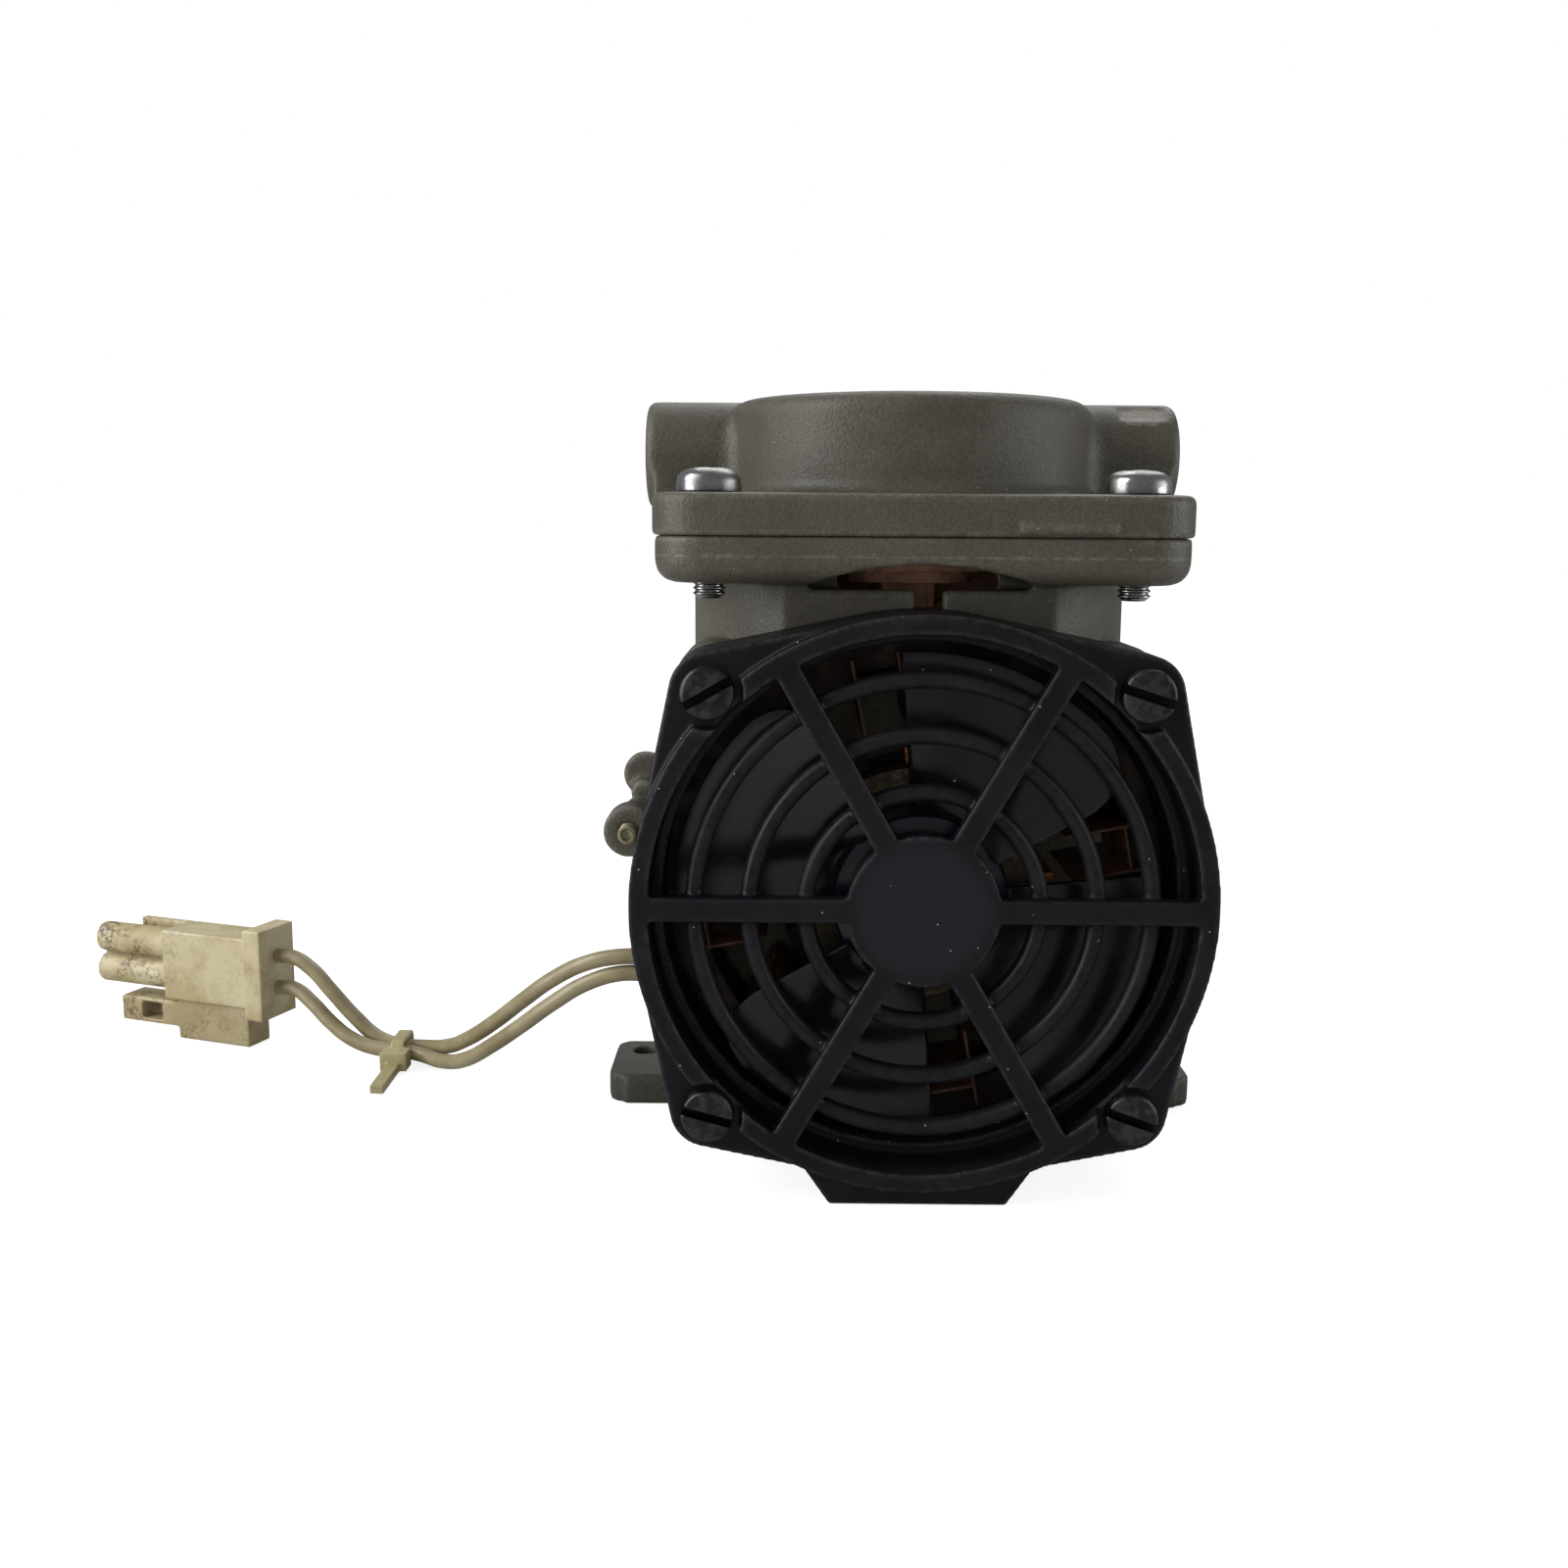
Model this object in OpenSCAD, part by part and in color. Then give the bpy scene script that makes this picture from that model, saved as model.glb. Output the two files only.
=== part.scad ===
// Diaphragm pump with a shaded-pole motor, seen from its fan end.
// X runs to the right, Y runs back from the fan guard, Z is up.
// The origin lies on the standing surface, midway between the two foot holes.
// Depths below are measured from the guard's front face, back along Y.

/* [Layout] */
// Height of the shaft axis above the standing surface
axis_height = 46; // [45.5:0.1:51]
// Depth of the foot holes behind the guard's front face
foot_setback = 57.5; // [56:0.1:60]
// Height of the head joint above the top of the guard
seam_gap = 10.9; // [10.6:0.1:16]

/* [Fan guard] */
// Radius of the guard's round body
guard_r = 43.6; // [43.2:0.1:44]
// Depth of the guard from its front face to its seat
guard_depth = 20; // [19:0.1:21]
// Thickness of the front grille
grille_t = 3; // [2.5:0.1:3.4]
// Width of the ring at the front face
front_ring_w = 2.8; // [2:0.1:3.2]
// Radius of the blank hub in the middle of the grille
guard_hub_r = 11.4; // [10:0.1:12]
// Number of straight spokes
spoke_count = 6; // [4:1:8]
// Width of a spoke
spoke_w = 3.7; // [3:0.1:4.5]
// Width of a round rib
rib_w = 2.6; // [2:0.1:3]
// How far the ribs lie behind the front face
rib_recess = 1.4; // [1:0.1:1.8]
// How far the corner screws lie outside the guard's round body
lug_offset = 1.65; // [1:0.05:2.2]
// Radius of a corner lug
lug_r = 5.8; // [5:0.1:6.4]
// Half width of the flat pad under the guard
pad_half_w = 13.5; // [11:0.1:15]

/* [Crankcase] */
// Wall of the housing round the motor
shell_wall = 2.95; // [2.5:0.05:3.2]
// Outer radius of the crank chamber
crank_r = 36; // [35:0.1:37]
// Inner radius of the crank chamber
crank_bore_r = 30; // [28:0.1:31]
// Outer radius of the upright neck
neck_r = 36.6; // [35:0.1:37]
// Inner radius of the neck under the diaphragm
neck_bore_r = 27; // [26.2:0.1:28]
// Width and depth of the flange under the head
case_flange_w = 81.6; // [81:0.1:83]
// Thickness of the flange under the head
case_flange_t = 7.1; // [6.6:0.1:7.5]
// Radius of the flange's corners in plan
flange_corner_r = 8; // [6:0.1:10]
// Space between the guard and the arched relief under the flange
arch_gap = 6; // [5.4:0.1:6.4]
// Width of the slot in the neck's front wall
slot_w = 4.4; // [3:0.1:6]
// Half distance between the two foot holes
foot_half_pitch = 46.5; // [45:0.1:48]
// Diameter of a foot hole
foot_hole_d = 4.4; // [3.5:0.1:5]
// Thickness of a foot
foot_t = 5.4; // [4:0.1:7]
// Depth of a foot from front to back
foot_l = 19; // [16:0.1:21]

/* [Head] */
// Width and depth of the head's flange
head_flange_w = 82.4; // [82:0.1:84]
// Thickness of the head's flange
head_flange_t = 6.4; // [6:0.1:8]
// Outer radius of the head's drum
drum_r = 30.5; // [30:0.1:31]
// Height of the drum above the flange
drum_h = 15.7; // [15:0.1:18]
// Radius of the two port bosses
port_boss_r = 9; // [8.5:0.1:9.5]
// Distance from the head's centre to the end of a port boss
port_reach = 44.5; // [42:0.1:45]
// Radius of the tapped port
port_r = 4.75; // [4:0.05:5.2]
// Depth of the tapped part of a port
port_l = 12; // [8:0.1:13]
// Distance between neighbouring head screws
head_pitch = 65; // [64:0.1:66]
// Diameter of a head screw's thread
head_screw_d = 5; // [4:0.1:5.2]

/* [Diaphragm drive] */
// Offset of the eccentric from the shaft axis
crank_throw = 1.5; // [1:0.05:1.7]
// Thickness of the diaphragm
diaphragm_t = 1.2; // [0.8:0.05:1.4]
// Radius of the diaphragm's clamped rim
diaphragm_r = 33; // [32:0.1:34]
// Radius of the upper clamp dish
dish_r = 16; // [14:0.1:17]
// Thickness of the clamp dish and of the washer under the diaphragm
dish_t = 2; // [1.8:0.05:2.2]
// Thickness of the valve plate
valve_plate_t = 4.5; // [4.2:0.05:5]
// Thickness of the head gasket
gasket_t = 0.8; // [0.5:0.05:1]
// Length of a valve reed
reed_l = 11; // [9:0.1:12]
// Thickness of a valve reed
reed_t = 0.25; // [0.15:0.01:0.35]

/* [Motor] */
// Length of the stator stack
stator_l = 14; // [12:0.1:14]
// Radial length of a coil along its pole
coil_l = 8.6; // [8:0.1:9.4]
// Radial gap between rotor and stator
air_gap = 0.4; // [0.3:0.05:0.6]
// Radius of the shaft
shaft_r = 3; // [2.8:0.05:3.2]
// Turn of the poles away from the guard's screws, in degrees
pole_turn = 11; // [0:1:20]
// Diameter of the winding wire drawn on the coils
wire_d = 1; // [0.8:0.05:1]
// Number of turns drawn round each coil
turns = 5; // [3:1:5]

/* [Fan] */
// Number of fan blades
blade_count = 4; // [3:1:5]
// Gap between the blades and the guard's shroud
fan_gap = 1.7; // [1:0.1:4]
// Radius of the fan's hub
fan_hub_r = 13.5; // [12:0.1:15]
// Thickness of a blade
blade_t = 1.2; // [1:0.05:1.6]
// Angle that one blade covers, in degrees
blade_span = 66; // [50:1:70]

/* [Leads] */
// Outer diameter of a lead
lead_d = 2.8; // [2.4:0.1:2.9]
// Length of the connector housing
connector_l = 42; // [38:0.5:46]

/* [Hidden] */
$fn = 96;
// Sides of the round corners that a hull blends
soft_fn = 32;
// Overrun of every cut past the face it opens
cut = 0.6;
// Clearance of a pressed or sliding fit, on the radius
fit = 0.02;
// Clearance of a loose fit, on the radius
loose = 0.05;
// Radial play between a screw and its clearance hole
screw_play = 0.25;

// Radii that follow from the guard
guard_shroud_wall = 4.3;
shell_step = 0.6;
shell_r = guard_r - shell_step;
stator_r = shell_r - shell_wall - loose;
arch_r = guard_r + arch_gap;
fan_r = guard_r - guard_shroud_wall - fan_gap;
corner_pitch = sqrt(2) * (guard_r + lug_offset);

// Depths along the shaft
stator_inset = 1;
stator_front = guard_depth + stator_inset;
stator_back = stator_front + stator_l;
rod_t = 7;
rod_clear = 2.5;
head_setback = 50;
crank_front = head_setback - rod_t / 2 - rod_clear;
bearing_w = 6;
bearing_lip = 1;
front_bearing = crank_front - bearing_w;
web_t = 3;
web_front = crank_front - web_t;
case_back = 64;
cover_t = 4;
rear_bearing = case_back - bearing_w + bearing_lip;
counterweight_t = 4;
rod_side_gap = 0.5;
counterweight_front = head_setback + rod_t / 2 + rod_side_gap;
collar_back = rear_bearing - 0.5 * bearing_lip;

// Radii of the two kinds of ball bearing
bearing_r = 9.5;
bearing_inner_r = 4.6;
bearing_race_r = 7.6;
bearing_ball_r = (bearing_race_r - bearing_inner_r) / 2 - loose;
bearing_ball_count = 7;
bearing_hub_wall = 3.5;
bearing_hub_r = bearing_r + bearing_hub_wall;
rod_bearing_w = 5;
rod_bearing_r = 10.5;
rod_bearing_race_r = 9.1;
rod_bearing_inner_r = 7.4;
rod_ball_r = (rod_bearing_race_r - rod_bearing_inner_r) / 2 - loose;
rod_ball_count = 12;
journal_r = 6;
collar_r = rod_bearing_race_r - 2 * loose;
spacer_r = 5;

// Heights of the head and of what lies under it
seam_z = axis_height + guard_r + seam_gap;
case_flange_z = seam_z - case_flange_t;
head_top_z = seam_z + head_flange_t;
drum_top_z = head_top_z + drum_h;
plate_top_z = seam_z + valve_plate_t;
gasket_top_z = plate_top_z + gasket_t;
rim_z = seam_z - diaphragm_t;
dish_top_gap = 0.6;
dish_top_z = seam_z - dish_top_gap;
clamp_z = dish_top_z - dish_t;
washer_top_z = clamp_z - diaphragm_t;
rod_top_z = washer_top_z - dish_t;
plate_r = 31;
drum_wall = 4;
chamber_r = drum_r - drum_wall;
chamber_top_z = drum_top_z - drum_wall;
partition_w = 4;
port_rise = drum_h - port_boss_r;
port_z = head_top_z + port_rise;
port_passage_r = 3;
drum_edge_r = 3;
drum_foot_r = 2.5;
boss_edge_r = 1.5;
head_edge_r = 1.2;
head_corner_r = flange_corner_r + (head_flange_w - case_flange_w) / 2;
case_edge_r = 3.2;
seam_edge_r = 0.4;

// Crankcase walls, floor, bosses, vents, feet and ear
stator_seat_r = stator_r + loose;
shoulder_w = 4;
shoulder_r = stator_seat_r - shoulder_w;
neck_floor_t = 2.6;
neck_floor_z = axis_height + stator_seat_r + neck_floor_t;
neck_low_rise = 1.6;
neck_low_z = axis_height + crank_r + neck_low_rise;
wall_top_drop = 0.8;
wall_top_z = case_flange_z - wall_top_drop;
slot_x = 1.4;
slot_floor_drop = 1.4;
slot_floor_z = neck_floor_z - slot_floor_drop;
window_depth = 5;
boss_r = 6;
boss_l = 16;
boss_back = guard_depth + boss_l;
vent_inset = 2;
vent_front = stator_front + vent_inset;
vent_back = web_front - cut;
vent_half_angle = 18;
vent_angles = [0, 172, 270];
vent_reach = shell_r + shoulder_w;
foot_edge = 5.5;
foot_reach = foot_half_pitch + foot_edge;
foot_inner = 24;
foot_leg_w = 10;
foot_corner_r = 3;
foot_hole_inset = 13.5;
foot_front = foot_setback - foot_hole_inset;
foot_leg_inset = 2;
foot_leg_bite = 2.4;
foot_leg_top = axis_height - sqrt(pow(crank_r, 2) - pow(foot_inner, 2)) + foot_leg_bite;
foot_step_w = 11;
foot_step_t = 0.8;
ear_x = -48.6;
ear_z = 48;
ear_r = 4.6;
ear_front = 50;
ear_l = 7;
ear_bar_t = 6;
ear_top_x = -46.4;
ear_top_z = 57;
ear_top_r = 4;
ear_top_back = 62;
ear_root = 2;
ear_top_root = 5;
ear_link_r = 2.4;
ear_screw_r = 1.7;
ear_screw_l = 10;
ear_core_r = 1.2;
lead_boss_x = shell_step - shell_r;
lead_boss_l = 8;
lead_boss_w = 7;
lead_boss_h = 11;
lead_exit_z = 27;
lead_exit_s = 38;
lead_space = 1.5;

// Screws
guard_screw_r = 2;
guard_head_r = 4;
guard_head_t = 2.8;
guard_screw_bite = 8;
guard_screw_l = grille_t + guard_depth + guard_screw_bite;
guard_slot_w = 1.1;
guard_slot_t = 1.2;
guard_slot_turns = [-18, 30, -15, -20];
head_screw_r = head_screw_d / 2;
head_screw_head_r = 5;
head_screw_head_t = 3.8;
head_screw_stub = 2.4;
cross_w = 1.1;
cross_l = 5.4;
cross_t = 1.8;
cover_screw_r = 1.5;
cover_screw_head_r = 2.9;
cover_screw_head_t = 2.2;
cover_screw_l = 12;
cover_screw_pitch_r = 33;
clamp_screw_r = 2.5;
clamp_screw_head_r = 4.8;
clamp_screw_head_t = 1.6;
clamp_screw_l = 12;
set_screw_r = 1.5;

// Guard details
guard_step = 9;
guard_wall = 2.6;
pocket_margin = 0.5;
guard_pocket_r = lug_r - pocket_margin;
rib_radii_shares = [0.4, 0.594, 0.782];
rib_t = 2.4;
pad_rise = 3.4;
pad_flare = 4;

// Motor details
pole_count = 4;
yoke_w = 5.5;
yoke_r = stator_r - yoke_w;
coil_tip_gap = 1.9;
coil_foot_gap = 2;
coil_out_r = yoke_r - coil_tip_gap;
coil_in_r = coil_out_r - coil_l;
shoe_t = 2.6;
shoe_half_angle = 34;
stator_bore_r = coil_in_r - coil_foot_gap - shoe_t;
rotor_r = stator_bore_r - air_gap;
pole_w = 12;
coil_wall = 0.7;
coil_build = 3.4;
coil_edge_r = 4.5;
loop_softness = 0.25;
loop_points = 24;
wire_sides = 6;
turn_space = 0.45;
wire_pitch = wire_d + turn_space;
coil_in_w = pole_w / 2 + coil_wall;
coil_in_l = stator_l / 2 + coil_wall;
coil_out_w = coil_in_w + coil_build;
coil_out_l = coil_in_l + coil_build;
coil_mid = (stator_front + stator_back) / 2;
loop_w = coil_out_w + wire_d / 2 + loose;
loop_l = coil_out_l + wire_d / 2 + loose;
coil_start = (coil_in_r + coil_out_r - turns * wire_pitch) / 2;
liner_t = 0.5;
liner_half_w = 3.6;
liner_in_r = coil_in_r + liner_t;
liner_overhang = 4.5;
liner_front = stator_front - liner_overhang;
liner_back = stator_back + liner_overhang;
liner_fold = 3.5;
ring_t = 1.6;
end_ring_t = 1.6;
end_ring_share = 0.355;
end_ring_out_r = rotor_r - air_gap;
end_ring_w = end_ring_share * end_ring_out_r;
ring_slot_angle = 17;
ring_slot_w = 1.7;
ring_slot_depth = 1.5;
ring_far_gap = 0.215;
ring_far_angle = shoe_half_angle + asin((ring_t / 2 + ring_far_gap) / stator_bore_r);
pin_r = 1.5;
pin_overhang = 0.6;
pin_pitch_r = stator_r - yoke_w / 2;

// Fan details
fan_front = 5.2;
fan_back = 13.6;
hub_front = 6.2;
hub_back = 14;
hub_wall = 2;
hub_boss_r = 6;
blade_turn = 29;
blade_corner_share = 0.24;
blade_corner_r = 9;
blade_steps = 12;
shaft_front = 4.4;
shaft_end_gap = 0.3;
shaft_back = case_back + bearing_lip - shaft_end_gap;
clip_r = 4.6;
clip_t = 0.8;

// Connecting rod and counterweight
rod_ring_r = 13.5;
rod_bar_w = 9;
rod_flange_r = 11;
rod_flange_t = 2;
rod_boss_r = 5;
rod_boss_l = 8;
counterweight_r = 22;
counterweight_ring_r = 12;
washer_rim = 0.5;
washer_r = dish_r + washer_rim;

// Valves
valve_x = 13;
valve_hole_r = 2.5;
reed_root_x = 6;
reed_w = 7;
reed_pocket_h = 2.2;
reed_pocket_margin = 0.8;
reed_tab = 3.6;
clamp_bar_t = 0.9;
rivet_r = 1.2;
stop_gap = 2.1;
stop_t = 0.8;

// Leads, tie and connector
lead_r = lead_d / 2;
lead_sides = 8;
grommet_flange_t = 1.4;
grommet_w = 5;
grommet_h = 8;
grommet_rim = 1;
tie_x = -94;
tie_y = 8;
tie_w = 2.5;
tie_wall = 0.8;
tie_play = 0.7;
tie_z = 2.6;
tie_tail_l = 12;
tie_head_l = 4;
connector_x = -120;
connector_y = 16;
connector_yaw = 20;
body_l = 20;
body_t = 9;
body_h = 14;
body_z = 8.2;
silo_r = 3;
silo_bore_r = 2.1;
silo_pitch = 6.35;
silo_bore_l = 14;
lip_l = 4;
lip_h = 18;
lip_t = 10.4;
latch_l = 17;
latch_h = body_z;
latch_t = 6.4;
latch_arm_l = 15;
latch_window_l = 5;
latch_window_h = 3.4;
latch_root = 1;
latch_low_share = 0.28;
latch_arm_share = 0.62;
latch_window_z = (latch_h * latch_arm_share - latch_window_h) / 2;
rail_l = 12;
rail_t = 1.6;
rail_h = 4;
terminal_r = 1.05;
terminal_l = 12;

// Routes of the two leads from the grommet to the connector
upper_route = [
    [-43.8, -19.5, 28.5], [-49, -19.5, 28.5], [-55, -18.5, 27], [-61, -16, 23.5],
    [-67, -12.5, 18.5], [-73, -8, 13], [-79, -2.5, 8], [-85, 4.5, 4], [-90, 8.5, 2.6],
    [-94, 9.5, 2.5], [-99, 10.5, 3.6], [-104, 11.8, 7.4], [-108.5, 12.6, 12.2],
    [-112.5, 13.4, 16.4], [-116.2, 14.62, 18.38], [-120, 16, 18.38]
];
lower_route = [
    [-43.8, -19.5, 25.5], [-49, -19.5, 25.5], [-55, -19, 23.5], [-61, -17.5, 19.5],
    [-67, -14.5, 14.5], [-73, -10.5, 9.5], [-79, -5.5, 5], [-85, 1, 2.4], [-90, 5, 2.3],
    [-94, 6.5, 2.5], [-99, 7.5, 2.6], [-104, 9, 3.9], [-108.5, 10.9, 6.6],
    [-112.5, 12.9, 9.8], [-116.2, 14.62, 12.02], [-120, 16, 12.02]
];

// Helpers

// Moves a piece drawn in depths from the guard's face into the part's own frame
module from_front() {
    translate([0, -foot_setback, 0]) children();
}

// Extrudes an outline drawn about the shaft axis between two depths
module axial(front, back) {
    translate([0, back, axis_height]) rotate([90, 0, 0]) linear_extrude(back - front) children();
}

// Extrudes an outline drawn about the head's centre between two heights
module upright(low, high) {
    translate([0, head_setback, low]) linear_extrude(high - low) children();
}

// Places its children once at each corner of a square pattern
module at_corners(pitch) {
    for (x = [-pitch / 2, pitch / 2], y = [-pitch / 2, pitch / 2]) translate([x, y]) children();
}

module ring_2d(outer, inner) {
    difference() {
        circle(outer);
        circle(inner);
    }
}

module box_2d(w, h) {
    translate([-w / 2, -h / 2]) square([w, h]);
}

// A rectangle with round corners, drawn with true arcs
module round_box_2d(w, h, r) {
    box_2d(w - 2 * r, h);
    box_2d(w, h - 2 * r);
    for (x = [-1, 1], y = [-1, 1]) translate([x * (w / 2 - r), y * (h / 2 - r)]) circle(r);
}

// A wedge from the middle that covers an angle on both sides of +X
module wedge_2d(r, half_angle) {
    polygon([[0, 0], [r * cos(half_angle), -r * sin(half_angle)], [r, 0],
             [r * cos(half_angle), r * sin(half_angle)]]);
}

// A round outline with four lugs, joined by straight tangents
module lug_outline(r, small_r) {
    reach = corner_pitch / sqrt(2);
    a = acos((r - small_r) / reach);
    circle(r);
    for (k = [0:3]) rotate(45 + 90 * k) {
        polygon([[0, 0], [r * cos(a), r * sin(a)],
                 [reach + small_r * cos(a), small_r * sin(a)],
                 [reach + small_r * cos(a), -small_r * sin(a)],
                 [r * cos(a), -r * sin(a)]]);
        translate([reach, 0]) circle(small_r);
    }
}

// A square plate with round corners whose lower and upper edges are softened
module soft_plate(w, t, corner, low_soft, top_soft) {
    hull() for (x = [-1, 1], y = [-1, 1])
        translate([x * (w / 2 - corner), y * (w / 2 - corner), 0])
            rotate_extrude($fn = soft_fn) polygon(concat(
                [[0, 0]],
                [for (a = [-90:30:0]) [corner - low_soft + low_soft * cos(a),
                                       low_soft + low_soft * sin(a)]],
                [for (a = [0:30:90]) [corner - top_soft + top_soft * cos(a),
                                      t - top_soft + top_soft * sin(a)]],
                [[0, t]]));
}

function unit(v) = v / norm(v);
function along(p, i) = unit(p[min(i + 1, len(p) - 1)] - p[max(i - 1, 0)]);

// A closed tube swept along points; across is a direction that it never follows
module tube(points, r, sides, across) {
    n = len(points);
    rings = [for (i = [0:n - 1])
        let (t = along(points, i), u = unit(cross(t, across)), v = cross(u, t))
        [for (k = [0:sides - 1])
            points[i] + r * (cos(360 * (k + 0.5) / sides) * u + sin(360 * (k + 0.5) / sides) * v)]];
    polyhedron(
        points = [for (ring = rings) each ring],
        faces = concat(
            [[for (k = [0:sides - 1]) k]],
            [for (i = [0:n - 2], k = [0:sides - 1])
                [i * sides + k, (i + 1) * sides + k, (i + 1) * sides + (k + 1) % sides]],
            [for (i = [0:n - 2], k = [0:sides - 1])
                [i * sides + k, (i + 1) * sides + (k + 1) % sides, i * sides + (k + 1) % sides]],
            [[for (k = [sides - 1:-1:0]) (n - 1) * sides + k]]));
}

// Casting that carries the motor, the crank and the head
module case_shells() {
    axial(guard_depth, crank_front) circle(shell_r);
    axial(guard_depth, boss_back) at_corners(corner_pitch) circle(boss_r);
    axial(web_front, case_back) circle(crank_r);
    intersection() {
        upright(axis_height, case_flange_z + cut) circle(neck_r);
        translate([-neck_r, guard_depth, 0])
            cube([2 * neck_r, case_back - guard_depth, seam_z]);
    }
    intersection() {
        upright(neck_low_z, case_flange_z + cut) circle(neck_r);
        translate([-neck_r, guard_depth, 0]) cube([2 * neck_r, 2 * neck_r, seam_z]);
    }
    translate([0, head_setback, case_flange_z])
        soft_plate(case_flange_w, case_flange_t, flange_corner_r, case_edge_r, seam_edge_r);
}

module foot() {
    difference() {
        union() {
            translate([foot_inner, foot_front, 0])
                cube([foot_reach - foot_corner_r - foot_inner, foot_l, foot_t]);
            translate([foot_inner, foot_front + foot_corner_r, 0])
                cube([foot_reach - foot_inner, foot_l - 2 * foot_corner_r, foot_t]);
            for (y = [foot_front + foot_corner_r, foot_front + foot_l - foot_corner_r])
                translate([foot_reach - foot_corner_r, y, 0]) cylinder(r = foot_corner_r, h = foot_t);
            translate([foot_reach - foot_step_w, foot_front - foot_step_t, 0])
                cube([foot_step_w - foot_corner_r, foot_l, foot_t - foot_step_t]);
            translate([foot_inner, foot_front + foot_leg_inset, 0])
                cube([foot_leg_w, foot_l - 2 * foot_leg_inset, foot_leg_top]);
        }
        translate([foot_half_pitch, foot_setback, -cut]) cylinder(d = foot_hole_d, h = foot_t + 2 * cut);
    }
}

// Cast ear on the left side with a tapped lower lobe
module ear() {
    axial(ear_front, ear_front + ear_l) {
        translate([ear_x, ear_z - axis_height]) circle(ear_r);
        translate([ear_x, ear_z - axis_height - ear_bar_t / 2])
            square([-ear_x - crank_r + ear_root, ear_bar_t]);
    }
    axial(ear_top_back - ear_bar_t / 2, ear_top_back + cut) {
        translate([ear_top_x, ear_top_z - axis_height]) circle(ear_top_r);
        translate([ear_top_x, ear_top_z - axis_height - ear_bar_t / 2])
            square([-ear_top_x - crank_r + ear_top_root, ear_bar_t]);
    }
    axial(ear_front + ear_l - cut, ear_top_back)
        translate([ear_top_x, ear_top_z - axis_height - ear_bar_t / 2]) circle(ear_link_r);
}

module lead_boss() {
    translate([lead_boss_x, lead_exit_s - lead_boss_w / 2, lead_exit_z - lead_boss_h / 2])
        cube([lead_boss_l, lead_boss_w, lead_boss_h]);
}

module grommet_outline(margin) {
    box_2d(grommet_h - grommet_w, grommet_w + 2 * margin);
    for (x = [-1, 1]) translate([x * (grommet_h - grommet_w) / 2, 0]) circle(grommet_w / 2 + margin);
}

// Extrudes an outline outwards along -X from the lead boss
module lead_side(from_x, length) {
    translate([from_x, lead_exit_s, lead_exit_z]) rotate([0, -90, 0]) linear_extrude(length) children();
}

// A narrow opening through the motor housing, centred on an angle
module vent(angle) {
    axial(vent_front, vent_back) rotate(angle) difference() {
        wedge_2d(vent_reach, vent_half_angle);
        circle(shoulder_r - cut);
    }
}

module crankcase() {
    color([0.37, 0.36, 0.33]) from_front() difference() {
        union() {
            case_shells();
            foot();
            mirror([1, 0, 0]) foot();
            ear();
            lead_boss();
        }
        axial(guard_depth - cut, stator_back) circle(stator_seat_r);
        axial(stator_back - cut, web_front) difference() {
            circle(shoulder_r);
            circle(bearing_hub_r);
        }
        axial(stator_back - cut, front_bearing - bearing_lip) circle(shoulder_r);
        axial(front_bearing, crank_front + cut) circle(bearing_r);
        axial(front_bearing - bearing_lip - cut, crank_front) circle(bearing_race_r);
        axial(crank_front, case_back + cut) circle(crank_bore_r);
        axial(guard_depth - cut, boss_back - cut) at_corners(corner_pitch) circle(guard_screw_r + fit);
        axial(case_back - cover_screw_l, case_back + cut)
            for (k = [0:3]) rotate(45 + 90 * k)
                translate([cover_screw_pitch_r, 0]) circle(cover_screw_r + fit);
        // Hollow neck with its floor over the motor
        upright(neck_floor_z, seam_z) circle(neck_bore_r);
        intersection() {
            upright(axis_height, neck_floor_z + cut) circle(neck_bore_r);
            translate([-neck_bore_r, crank_front, 0])
                cube([2 * neck_bore_r, case_back - crank_front - web_t, seam_z]);
        }
        upright(rim_z, seam_z + cut) circle(diaphragm_r + loose);
        // Arched relief and the slot in the neck's front wall
        intersection() {
            axial(-cut, guard_depth + window_depth) circle(arch_r);
            translate([-neck_r, -cut, wall_top_z]) cube([2 * neck_r, case_flange_w, case_flange_t]);
        }
        translate([slot_x - slot_w / 2, guard_depth - cut, slot_floor_z])
            cube([slot_w, 2 * window_depth, wall_top_z - slot_floor_z + cut]);
        upright(case_flange_z - cut, seam_z + cut) at_corners(head_pitch) circle(head_screw_r + fit);
        for (a = vent_angles) vent(a);
        translate([0, lead_exit_s, lead_exit_z]) lead_hole();
        axial(ear_front - cut, ear_front + ear_l + cut)
            translate([ear_x, ear_z - axis_height]) circle(ear_screw_r + fit);
    }
}

module lead_hole() {
    translate([lead_boss_x - cut, 0, 0]) rotate([0, 90, 0])
        linear_extrude(lead_boss_l + shoulder_w) grommet_outline(fit);
}

module rear_cover() {
    color([0.37, 0.36, 0.33]) from_front() difference() {
        union() {
            axial(case_back, case_back + cover_t) circle(crank_r);
            axial(rear_bearing, case_back + cut) circle(bearing_hub_r);
        }
        axial(rear_bearing - cut, rear_bearing + bearing_w) circle(bearing_r);
        axial(case_back - cut, case_back + cover_t + cut)
            for (k = [0:3]) rotate(45 + 90 * k)
                translate([cover_screw_pitch_r, 0]) circle(cover_screw_r + loose);
    }
}

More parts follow.
